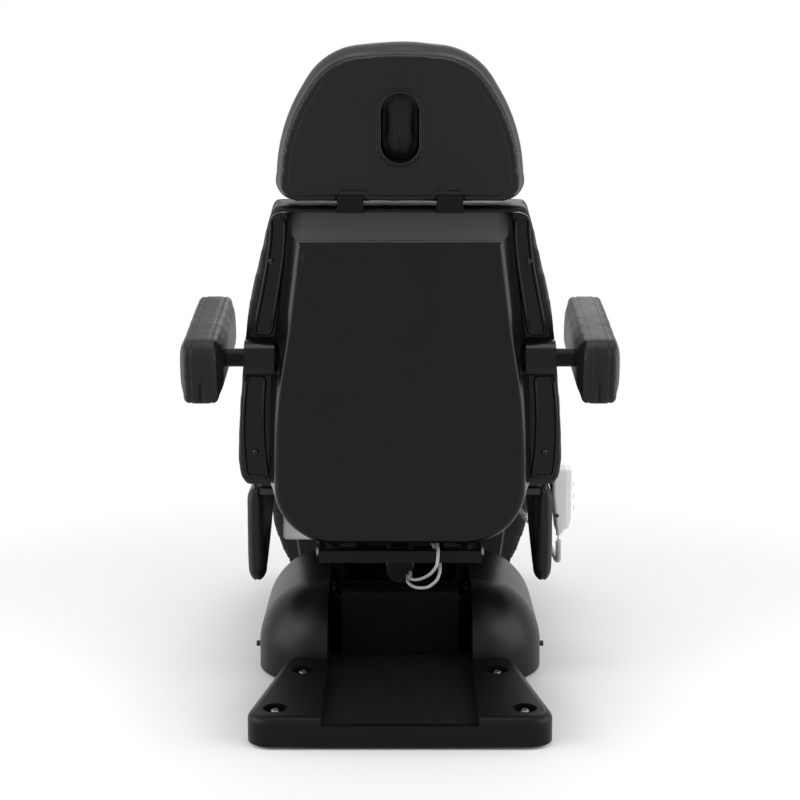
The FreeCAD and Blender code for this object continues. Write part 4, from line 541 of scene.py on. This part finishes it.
embossed = {
    "Height": pebble.outputs["Distance"],
    "Strength": 0.5,
    "Distance": 0.0004,
    "Normal": slack.outputs[0],
}
tree.links.new(add(tree, "ShaderNodeBump", embossed, invert=True).outputs[0], shader.inputs["Normal"])

# Twisted polyester thread, dull, a little paler than the leatherette.
thread, tree, shader, place = finish("polyester_thread")
ply = add(tree, "ShaderNodeTexNoise", {"Vector": place, "Scale": per_mm / 0.7, "Detail": 1.0})
tone = {0: ply.outputs[0], 6: linear("#161617"), 7: linear("#2a2a2b")}
tree.links.new(add(tree, "ShaderNodeMix", tone, data_type="RGBA").outputs[2], shader.inputs["Base Color"])
shader.inputs["Roughness"].default_value = 0.6


def places_of(piece):
    """The places of a mesh's points, as rows."""
    places = np.empty(len(piece.data.vertices) * 3)
    piece.data.vertices.foreach_get("co", places)
    return places.reshape(-1, 3)


def move_to(piece, places):
    """Puts a mesh's points at new places."""
    piece.data.vertices.foreach_set("co", places.ravel())
    piece.data.update()


weld = 0.00002
drawn_in = 0.003
bag_pressure = 4
swell_steps = 14
swell_limit = 0.006
smooth_passes = 5
refills = 2
refill_share = 0.9
refill_smooth_passes = 6
line_step = 0.002
shortest_line = 8
press_reach_share = 3


def merged(node):
    """A CAD node's skin with its triangles joined."""
    skin = bmesh.new()
    skin.from_mesh(nodes[node].data)
    skin.transform(nodes[node].matrix_world)
    bmesh.ops.remove_doubles(skin, verts=skin.verts, dist=weld)
    return skin


def normals_of(piece):
    """The outward directions of a mesh's points, as rows."""
    normals = np.empty(len(piece.data.vertices) * 3)
    piece.data.vertices.foreach_get("normal", normals)
    return normals.reshape(-1, 3)


def stuff(name, skin, local, voxel, levels, rest_axis=None):
    """A pad made from a soft skin: drawn in, remeshed evenly, swelled as a stuffed bag, and filled out again.

    local is the piece's own frame, and the pad doesn't reach below its skin along that frame's rest_axis.
    """
    solid = BVHTree.FromBMesh(skin)
    if rest_axis is not None:
        inward = local.inverted()
        lowest = min((inward @ vertex.co)[rest_axis] for vertex in skin.verts)
    skin.normal_update()
    for vertex in skin.verts:
        vertex.co -= vertex.normal * drawn_in
    mesh = bpy.data.meshes.new(name)
    skin.to_mesh(mesh)
    skin.free()
    pad = bpy.data.objects.new(name, mesh)
    scene.collection.objects.link(pad)
    even = pad.modifiers.new("even_skin", "REMESH")
    even.mode = "VOXEL"
    even.voxel_size = voxel
    settle(pad)
    before = places_of(pad)
    bag = pad.modifiers.new("stuffing", "CLOTH")
    bag.settings.use_pressure = True
    bag.settings.uniform_pressure_force = bag_pressure
    bag.settings.effector_weights.gravity = 0
    bag.collision_settings.use_collision = False
    bag.point_cache.frame_end = swell_steps
    for step in range(1, swell_steps + 1):
        scene.frame_set(step)
    settle(pad)
    scene.frame_set(1)
    moved = places_of(pad) - before
    far = np.maximum(np.linalg.norm(moved, axis=1, keepdims=True), 1e-9)
    move_to(pad, before + moved * np.minimum(1, swell_limit / far))
    smooth = pad.modifiers.new("smooth_skin", "SMOOTH")
    smooth.iterations = smooth_passes
    finer = pad.modifiers.new("finer_skin", "SUBSURF")
    finer.levels = levels
    finer.render_levels = levels
    settle(pad)
    for _ in range(refills):
        places = places_of(pad)
        depths = []
        for spot in places:
            near, facing = solid.find_nearest(spot)[:2]
            depths.append(facing.dot(near - Vector(spot)))
        outward = np.clip(depths, np.median(depths), None)[:, None]
        move_to(pad, places + normals_of(pad) * outward * refill_share)
        smooth = pad.modifiers.new("smooth_skin", "SMOOTH")
        smooth.iterations = refill_smooth_passes
        settle(pad)
    if rest_axis is not None:
        turn = np.array(local)
        places = (places_of(pad) - turn[:3, 3]) @ turn[:3, :3]
        places[:, rest_axis] = np.maximum(places[:, rest_axis], lowest)
        move_to(pad, places @ turn[:3, :3].T + turn[:3, 3])
    pad.data.polygons.foreach_set("use_smooth", [True] * len(pad.data.polygons))
    pad.data.materials.clear()
    pad.data.materials.append(leatherette)
    return pad


def section(cut, spot, facing):
    """The closed lines on which a flat plane meets a skin, longest first, in even steps."""
    everything = cut.verts[:] + cut.edges[:] + cut.faces[:]
    found = bmesh.ops.bisect_plane(cut, geom=everything, plane_co=spot, plane_no=facing)
    onward = {}
    for part in found["geom_cut"]:
        if isinstance(part, bmesh.types.BMEdge):
            near, far = part.verts
            onward.setdefault(near, []).append(far)
            onward.setdefault(far, []).append(near)
    lines = []
    while onward:
        here = next(iter(onward))
        line = []
        while here is not None:
            line.append(here.co.copy())
            here = next((far for far in onward.pop(here) if far in onward), None)
        lines.append(line)
    cut.free()
    lines = [spaced(line, line_step, closed=True) for line in lines if len(line) > shortest_line]
    return sorted(lines, key=len, reverse=True)


def seam_line(pad, spot, facing):
    """The longest closed line on which a flat plane meets a pad."""
    skin = bmesh.new()
    skin.from_mesh(pad.data)
    return section(skin, spot, facing)[0]


def press(pad, line, depth, half_width, fading=False):
    """Presses a seam or crease into a pad along a line; a fading one is deepest in its middle."""
    tree = KDTree(len(line))
    for index, point in enumerate(line):
        tree.insert(point, index)
    tree.balance()
    places = places_of(pad)
    normals = normals_of(pad)
    reach = press_reach_share * half_width
    lowest = np.min(line, axis=0) - reach
    highest = np.max(line, axis=0) + reach
    beside = np.all((places > lowest) & (places < highest), axis=1)
    for vertex in np.flatnonzero(beside):
        index, far = tree.find(places[vertex])[1:]
        if far < reach:
            share = math.sin(math.pi * index / (len(line) - 1)) if fading else 1.0
            places[vertex] -= normals[vertex] * depth * share * math.exp(-(far / half_width) ** 2)
    move_to(pad, places)


stitches = bpy.data.node_groups.new("stitch_row", "GeometryNodeTree")
stitches.interface.new_socket("Geometry", in_out="INPUT", socket_type="NodeSocketGeometry")
for size in ("Pitch", "Length", "Thickness"):
    stitches.interface.new_socket(size, in_out="INPUT", socket_type="NodeSocketFloat")
stitches.interface.new_socket("Thread", in_out="INPUT", socket_type="NodeSocketMaterial")
stitches.interface.new_socket("Geometry", in_out="OUTPUT", socket_type="NodeSocketGeometry")
entry = add(stitches, "NodeGroupInput").outputs
line = add(stitches, "GeometryNodeMeshToCurve", {"Mesh": entry["Geometry"]}).outputs[0]
paced = {"Curve": line, "Length": entry["Pitch"]}
steps = add(stitches, "GeometryNodeCurveToPoints", paced, mode="LENGTH").outputs
single = add(stitches, "GeometryNodeMeshIcoSphere", {"Radius": 0.5, "Subdivisions": 2}).outputs[0]
sides = {0: entry["Thickness"], 1: entry["Thickness"], 2: entry["Length"]}
size = add(stitches, "ShaderNodeCombineXYZ", sides).outputs[0]
sewn = {"Points": steps["Points"], "Instance": single, "Rotation": steps["Rotation"], "Scale": size}
row = add(stitches, "GeometryNodeInstanceOnPoints", sewn).outputs[0]
real = add(stitches, "GeometryNodeRealizeInstances", {0: row}).outputs[0]
dyed = add(stitches, "GeometryNodeSetMaterial", {"Geometry": real, "Material": entry["Thread"]}).outputs[0]
add(stitches, "NodeGroupOutput", {0: dyed})


def stitch(name, lines, closed=True, pitch=0.006, length=0.0044, thickness=0.0007, material=thread):
    """Rows of stitches along lines of points."""
    points = []
    edges = []
    for line in lines:
        first = len(points)
        points += line
        edges += [(first + step, first + step + 1) for step in range(len(line) - 1)]
        if closed:
            edges.append((len(points) - 1, first))
    mesh = bpy.data.meshes.new(name)
    mesh.from_pydata(points, edges, [])
    rows = grow(name, mesh, stitches, Pitch=pitch, Length=length, Thickness=thickness, Thread=material)
    return rows


def band_seams(pad, name, body, spots, facing, away=0.004, depth=0.0016, half_width=0.0028):
    """Sews a pad's panels together in flat seams, with a row of stitches on each side of them."""
    for spot in spots:
        press(pad, seam_line(pad, spot, facing), depth, half_width)
    sides = [Vector(spot) + Vector(facing) * step for spot in spots for step in (-away, away)]
    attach(stitch(name, [seam_line(pad, spot, facing) for spot in sides]), body)


row_frame = Matrix.Identity(4)
seat_band = 0.03
seat_pad = stuff("seat_cushion_cover", merged("seat_cushion"), row_frame, voxel=0.012, levels=2, rest_axis=2)
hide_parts("seat_cushion")
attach(seat_pad, "seat")
seat_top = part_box("seat_cushion")[1][2]
band_seams(seat_pad, "seat_cushion_stitches", "seat", [(0, 0, seat_top - seat_band)], (0, 0, 1))

# Side wings
# Two flat stuffed pads that hang beside the mechanism on straps from the seat's frame.
# Each is two panels of leatherette, sewn together round the edge, and creases where it hangs.

wing_x = 0.297
wing_faces = (0.312, 0.282)
# Shares of a crease's lean with their levels, and each crease's place along the wing with its lean.
crease_levels = ((0.0, 0.40), (0.5, 0.33), (1.0, 0.25))
wing_creases = ((-0.165, 0.025), (-0.11, 0.02), (-0.03, -0.015), (0.05, -0.02))
for side, name in ((1, "right"), (-1, "left")):
    wing = stuff(f"wing_{name}_cover", merged(f"wing_{name}"), row_frame, voxel=0.007, levels=1)
    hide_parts(f"wing_{name}")
    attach(wing, "seat")
    press(wing, seam_line(wing, (side * wing_x, 0, 0), (1, 0, 0)), depth=0.003, half_width=0.003)
    for y, lean in wing_creases:
        for face in wing_faces:
            hang = [(side * face, y + share * lean, level) for share, level in crease_levels]
            press(wing, spaced(hang, line_step), depth=0.0022, half_width=0.007, fading=True)

# Control box
# A pale grey ABS box fixed under the seat on the left, with its mains inlet at the front.
# Its fine mould grain is drawn 1.2 mm wide so that it shows, and takes the shine off it.

pale_abs, tree, shader, place = finish("pale_grey_abs")
cloud = add(tree, "ShaderNodeTexNoise", {"Vector": place, "Scale": per_mm / 40.0, "Detail": 3.0})
tone = {0: cloud.outputs[0], 6: linear("#c9cac8"), 7: linear("#d6d7d5")}
tree.links.new(add(tree, "ShaderNodeMix", tone, data_type="RGBA").outputs[2], shader.inputs["Base Color"])
grain = add(tree, "ShaderNodeTexNoise", {"Vector": place, "Scale": per_mm / 1.2, "Detail": 2.0})
bump = add(tree, "ShaderNodeBump", {"Height": grain.outputs[0], "Strength": 0.4, "Distance": 0.0001})
tree.links.new(bump.outputs[0], shader.inputs["Normal"])
shader.inputs["Roughness"].default_value = 0.45
wear(pale_abs, "control_box", "handset_back")

# Handset
# Two ABS shells screwed together, the front paler than the back, with six round keys, hung on a steel hook
# beside the right wing. The front is moulded smooth and shines softly.

handset_screw_place = (0.328, -0.141, 0.343)

white_abs, tree, shader, place = finish("white_abs")
cloud = add(tree, "ShaderNodeTexNoise", {"Vector": place, "Scale": per_mm / 40.0, "Detail": 3.0})
tone = {0: cloud.outputs[0], 6: linear("#dcdddc"), 7: linear("#e8e9e8")}
tree.links.new(add(tree, "ShaderNodeMix", tone, data_type="RGBA").outputs[2], shader.inputs["Base Color"])
shader.inputs["Roughness"].default_value = 0.38
wear(white_abs, "handset_front")

# The keys are moulded silicone, matt and a little cloudy.
silicone, tree, shader, place = finish("grey_silicone")
cloud = add(tree, "ShaderNodeTexNoise", {"Vector": place, "Scale": per_mm / 5.0, "Detail": 2.0})
tone = {0: cloud.outputs[0], 6: linear("#5d6064"), 7: linear("#70747a")}
tree.links.new(add(tree, "ShaderNodeMix", tone, data_type="RGBA").outputs[2], shader.inputs["Base Color"])
shader.inputs["Roughness"].default_value = 0.6
wear(silicone, *[f"handset_button_{number}" for number in range(1, 7)])

outward = (0, -1, 0)
handset_screw = screws("handset_screw_head", [handset_screw_place], outward, radius=0.004, steel=black_oxide)
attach(handset_screw, "handset")

# Back shell
# One ABS moulding screwed over the back's frame: a bulge between two flat strips, each bordered by raised
# beads. The mould is grained more coarsely on the slope above the bulge, which is duller; that grain is drawn
# 3.5 mm wide so that it shows. The slope's paler colour is a painted highlight of the light falling from
# above.

bead_radius = 0.0036
bead_sunk = 0.0008
bead_inset = 0.0055
bead_inner_insets = (0.046, 0.030)
bead_runs = ((0.046, 0.250), (0.336, 0.558))
bead_points = 60
bead_step = 0.003
bead_rounding = 4
flange_spot = (0, 0.002, 0.3)
flange_top = 0.535
level_gap = 0.004
levels_a_run = 20
edge_degree = 5
slope_start = 0.536
slope_half = 0.186
slope_fade = 0.012

shell_abs = moulded_abs.copy()
shell_abs.name = "moulded_abs_grained"
tree = shell_abs.node_tree
shader = tree.nodes["Principled BSDF"]
place = tree.nodes["Texture Coordinate"].outputs["Object"]
up_back = back_frame.to_3x3() @ Vector((0, 0, 1))
height = add(tree, "ShaderNodeVectorMath", {0: place, 1: up_back}, operation="DOT_PRODUCT").outputs["Value"]
slope_level = up_back.dot(back_frame.translation) + slope_start
above = add(tree, "ShaderNodeMath", {0: height, 1: slope_level}, operation="GREATER_THAN").outputs[0]
axes = add(tree, "ShaderNodeSeparateXYZ", {0: place}).outputs
across = add(tree, "ShaderNodeMath", {0: axes["X"]}, operation="ABSOLUTE").outputs[0]
ends = {"Value": across, "From Min": slope_half + slope_fade, "From Max": slope_half - slope_fade}
between = add(tree, "ShaderNodeMapRange", ends).outputs[0]
coarse_grain_and_painted_highlight = add(tree, "ShaderNodeMath", {0: above, 1: between}, operation="MULTIPLY").outputs[0]
# The slope is painted paler, a painted highlight for the light from above; its coarse grain and dullness are
# real.
black = shader.inputs["Base Color"].links[0].from_socket
tone = {0: coarse_grain_and_painted_highlight, 6: black, 7: linear("#3e3e40")}
tree.links.new(add(tree, "ShaderNodeMix", tone, data_type="RGBA").outputs[2], shader.inputs["Base Color"])
shader.inputs["Specular IOR Level"].default_value = 0.18
dull = add(tree, "ShaderNodeMix", {0: coarse_grain_and_painted_highlight, 2: 0.2, 3: 0.55}).outputs[0]
tree.links.new(dull, shader.inputs["Roughness"])
pits = add(tree, "ShaderNodeTexVoronoi", {"Vector": place, "Scale": per_mm / 3.5}, feature="SMOOTH_F1")
fine = shader.inputs["Normal"].links[0].from_socket
pitted = {"Height": pits.outputs["Distance"], "Strength": coarse_grain_and_painted_highlight, "Distance": 0.0006, "Normal": fine}
tree.links.new(add(tree, "ShaderNodeBump", pitted).outputs[0], shader.inputs["Normal"])
wear(shell_abs, "back_shell")


def join(name, pieces):
    """One piece made of several."""
    whole = bmesh.new()
    for piece in pieces:
        whole.from_mesh(piece.data)
        bpy.data.objects.remove(piece)
    mesh = bpy.data.meshes.new(name)
    whole.to_mesh(mesh)
    whole.free()
    joined = bpy.data.objects.new(name, mesh)
    scene.collection.objects.link(joined)
    return joined


# The strips' outer edge is read from the shell at several levels, and the beads follow it.
flange = section(merged("back_shell"), back_frame @ Vector(flange_spot), out_of_back)
flange = [back_frame.inverted() @ point for line in flange for point in line]
spans = [(low + level_gap, min(high, flange_top)) for low, high in bead_runs]
levels = np.concatenate([np.linspace(low, high, levels_a_run) for low, high in spans])
halves = [max(point.x for point in flange if abs(point.z - level) < level_gap) for level in levels]
edge_curve = np.polyfit(levels, halves, edge_degree)
beads = []
for side in (1, -1):
    for run in bead_runs:
        heights = np.linspace(*run, bead_points)
        edge = np.polyval(edge_curve, np.clip(heights, levels[0], levels[-1]))
        inner = edge - np.interp(heights, (bead_runs[0][0], bead_runs[1][1]), bead_inner_insets)
        border = list(zip(edge - bead_inset, heights)) + list(zip(inner, heights))[::-1]
        border = [back_frame @ Vector((side * x, bead_sunk, u)) for x, u in border]
        border = spaced(border, bead_step, closed=True)
        for _ in range(bead_rounding):
            neighbours = zip(border[-1:] + border[:-1], border[1:] + border[:1])
            border = [(before + after) / 2 for before, after in neighbours]
        beads.append(tube("bead", border, [bead_radius] * len(border), sides=12, closed=True))
shell_beads = join("back_shell_beads", beads)
shell_beads.data.materials.append(shell_abs)
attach(shell_beads, "back")

# Back cushion
# Foam on the back's board, upholstered in the same leatherette as the seat.
# The cover has a front panel and a band, sewn together round the cushion's rounded shoulders.

back_seam_spot = (0, 0.078, 0.3)
back_pad = stuff("back_cushion_cover", merged("back_cushion"), back_frame, voxel=0.012, levels=2, rest_axis=1)
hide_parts("back_cushion")
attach(back_pad, "back")
band_seams(back_pad, "back_cushion_stitches", "back", [back_frame @ Vector(back_seam_spot)], out_of_back)

# Armrests
# A long foam block on a turning rod at each side, in a leatherette cover of two side panels and a band.
# The cover is pulled over the block and closed by a zip below a cross seam at the rear end.

arm_x = 0.3635
arm_u = 0.288
arm_n = 0.063
arm_size = (0.065, 0.31, 0.118)
arm_round = 0.012
arm_end_round = 0.036
arm_end = -0.092
arm_seams = (0.345, 0.382)
cross_seam = (0.336, 0.391)
zip_top = 0.284
zip_foot = 0.236
zip_below_seam = 0.004
zip_depth = 0.016
pull_out = 0.0022
pull_half = (0.0018, 0.0055)
pull_drop = 0.004
pull_wire = 0.0008
pull_steps = 24


def arm_block(side):
    """An armrest's foam: a long block with rounded edges."""
    block = bmesh.new()
    bmesh.ops.create_cube(block, size=1)
    bmesh.ops.scale(block, vec=arm_size, verts=block.verts)
    bmesh.ops.subdivide_edges(block, edges=block.edges[:], cuts=1, use_grid_fill=True)
    bmesh.ops.translate(block, vec=(side * arm_x, arm_n, arm_u), verts=block.verts)
    sharp = [edge for edge in block.edges if edge.calc_face_angle(0) > 1]
    across = [edge for edge in sharp if edge.verts[0].co.x != edge.verts[1].co.x]
    ends = [edge for edge in across if edge.verts[0].co.z > arm_u]
    bmesh.ops.bevel(block, geom=ends, offset=arm_end_round, segments=7, profile=0.5, affect="EDGES")
    sharp = [edge for edge in block.edges if edge.calc_face_angle(0) > 1]
    bmesh.ops.bevel(block, geom=sharp, offset=arm_round, segments=4, profile=0.5, affect="EDGES")
    bmesh.ops.transform(block, matrix=back_frame, verts=block.verts)
    return block


for side, name in ((1, "right"), (-1, "left")):
    arm_pad = stuff(f"armrest_pad_{name}_cover", arm_block(side), back_frame, voxel=0.01, levels=2)
    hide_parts(f"armrest_pad_{name}")
    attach(arm_pad, f"armrest_{name}")
    edges = [(side * x, 0, 0) for x in arm_seams]
    band_seams(arm_pad, f"armrest_{name}_stitches", f"armrest_{name}", edges, (1, 0, 0))
    cross = [back_frame @ Vector((side * x, arm_end, zip_top)) for x in cross_seam]
    press(arm_pad, spaced(cross, line_step), depth=0.003, half_width=0.0022)
    down = [back_frame @ Vector((side * arm_x, arm_end, u)) for u in (zip_top - zip_below_seam, zip_foot)]
    press(arm_pad, spaced(down, line_step), depth=0.0022, half_width=0.004)
    middle = seam_line(arm_pad, (side * arm_x, 0, 0), (1, 0, 0))
    inside = [(back_frame.inverted() @ point, point) for point in middle]
    closing = [point for at, point in sorted(inside, key=lambda pair: -pair[0].z)
               if at.y < arm_end + zip_depth and zip_foot < at.z < zip_top]
    teeth = stitch(f"armrest_{name}_zip", [closing], closed=False, pitch=0.0024, length=0.0014,
                   thickness=0.0046, material=black_oxide)
    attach(teeth, f"armrest_{name}")
    hook = closing[0] - out_of_back * pull_out
    loop = []
    for step in range(pull_steps):
        angle = math.tau * step / pull_steps
        bend = Vector((pull_half[0] * math.cos(angle), 0, pull_half[1] * math.sin(angle) - pull_drop))
        loop.append(hook + back_frame.to_3x3() @ bend)
    pull = tube(f"armrest_{name}_zip_pull", loop, [pull_wire] * len(loop), sides=8, closed=True)
    pull.data.materials.append(black_oxide)
    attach(pull, f"armrest_{name}")

# Headrest
# A D-shaped pad on a board, both covered in leatherette, on two flat posts that slide in the back's frame.
# A face hole goes through both, and a small pillow fills it.

panel_back = -0.004
panel_seam_share = 0.945
hole_half = 0.036
hole_straight = 0.0285
hole_centre = 0.724
lip_steps = 72
lip_step = 0.004
# Rolls of the hole's lip: name, distance outside the hole, radius and depth.
lip_rolls = (
    ("face_hole_lip_inner", 0.0008, 0.0028, -0.0048),
    ("face_hole_lip_outer", 0.0052, 0.0022, -0.0044),
)
rim_depth = 0.005
# Creases of the back panel: start, end, depth and half width.
panel_creases = (
    ((0.014, 0.845), (0.034, 0.775), 0.0034, 0.008),
    ((-0.012, 0.648), (0.004, 0.600), 0.0028, 0.007),
    ((0.060, 0.606), (0.130, 0.640), 0.0016, 0.004),
    ((0.085, 0.602), (0.165, 0.628), 0.0014, 0.004),
    ((-0.206, 0.735), (-0.180, 0.728), 0.0030, 0.004),
    ((0.206, 0.700), (0.180, 0.694), 0.0030, 0.004),
)

head_pad = stuff("headrest_pad_cover", merged("headrest_pad"), back_frame, voxel=0.008, levels=1, rest_axis=1)
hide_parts("headrest_pad")
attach(head_pad, "headrest")
head_panel = stuff("headrest_back_panel", merged("headrest_board"), back_frame, voxel=0.004, levels=1)
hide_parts("headrest_board")
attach(head_panel, "headrest")

# The back panel is sewn along a line just inside its edge, drawn in at two places and creased round the hole.
panel_centre = back_frame @ Vector((0, panel_back, hole_centre))
rim = seam_line(head_panel, panel_centre + out_of_back * rim_depth, out_of_back)
seam = []
for point in rim:
    flat = back_frame.inverted() @ point
    up = hole_centre + (flat.z - hole_centre) * panel_seam_share
    seam.append(back_frame @ Vector((flat.x * panel_seam_share, panel_back, up)))
press(head_panel, seam, depth=0.0018, half_width=0.0026)
for (x, u), (far_x, far_u), depth, half_width in panel_creases:
    ends = [back_frame @ Vector((x, panel_back, u)), back_frame @ Vector((far_x, panel_back, far_u))]
    press(head_panel, spaced(ends, line_step), depth, half_width, fading=True)

# The hole's lip is two rolls of leatherette, one inside the other.
for name, outset, roll, depth in lip_rolls:
    path = []
    for step in range(lip_steps):
        angle = math.tau * step / lip_steps
        high = hole_straight if math.sin(angle) > 0 else -hole_straight
        reach = hole_half + outset
        up = hole_centre + high + reach * math.sin(angle)
        path.append(back_frame @ Vector((reach * math.cos(angle), depth, up)))
    path = spaced(path, lip_step, closed=True)
    lip = tube(name, path, [roll] * len(path), sides=12, closed=True)
    lip.data.materials.append(leatherette)
    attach(lip, "headrest")

# The plug's cover is closed by a seam down its middle in a paler thread.
pale_thread, tree, shader, place = finish("pale_polyester_thread")
ply = add(tree, "ShaderNodeTexNoise", {"Vector": place, "Scale": per_mm / 0.7, "Detail": 1.0})
tone = {0: ply.outputs[0], 6: linear("#6a6a68"), 7: linear("#8c8c89")}
tree.links.new(add(tree, "ShaderNodeMix", tone, data_type="RGBA").outputs[2], shader.inputs["Base Color"])
shader.inputs["Roughness"].default_value = 0.6
plug = stuff("face_plug_cover", merged("face_plug"), back_frame, voxel=0.006, levels=2)
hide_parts("face_plug")
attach(plug, "face_plug")
press(plug, seam_line(plug, (0, 0, 0), (1, 0, 0)), depth=0.0022, half_width=0.0024)
plug_rows = stitch("face_plug_stitches", [seam_line(plug, (0, 0, 0), (1, 0, 0))], material=pale_thread)
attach(plug_rows, "face_plug")

# Leg rest
# Foam on a board under leatherette, over a moulded cover with a raised panel, hinged at the seat's front.
# Its own frame starts at the knee and hangs with it: across, down along it, and out of its face.

knee_place = (0, 0.195, 0.415)
leg_drop = math.radians(-52)
leg_seam_spot = (0, 0.2, 0.086)
leg_frame = Matrix.Translation(knee_place) @ Matrix.Rotation(leg_drop, 4, "X")
leg_pad = stuff("leg_cushion_cover", merged("leg_cushion"), leg_frame, voxel=0.012, levels=2, rest_axis=2)
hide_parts("leg_cushion")
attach(leg_pad, "leg_rest")
out_of_leg = leg_frame.to_3x3() @ Vector((0, 0, 1))
band_seams(leg_pad, "leg_cushion_stitches", "leg_rest", [leg_frame @ Vector(leg_seam_spot)], out_of_leg)
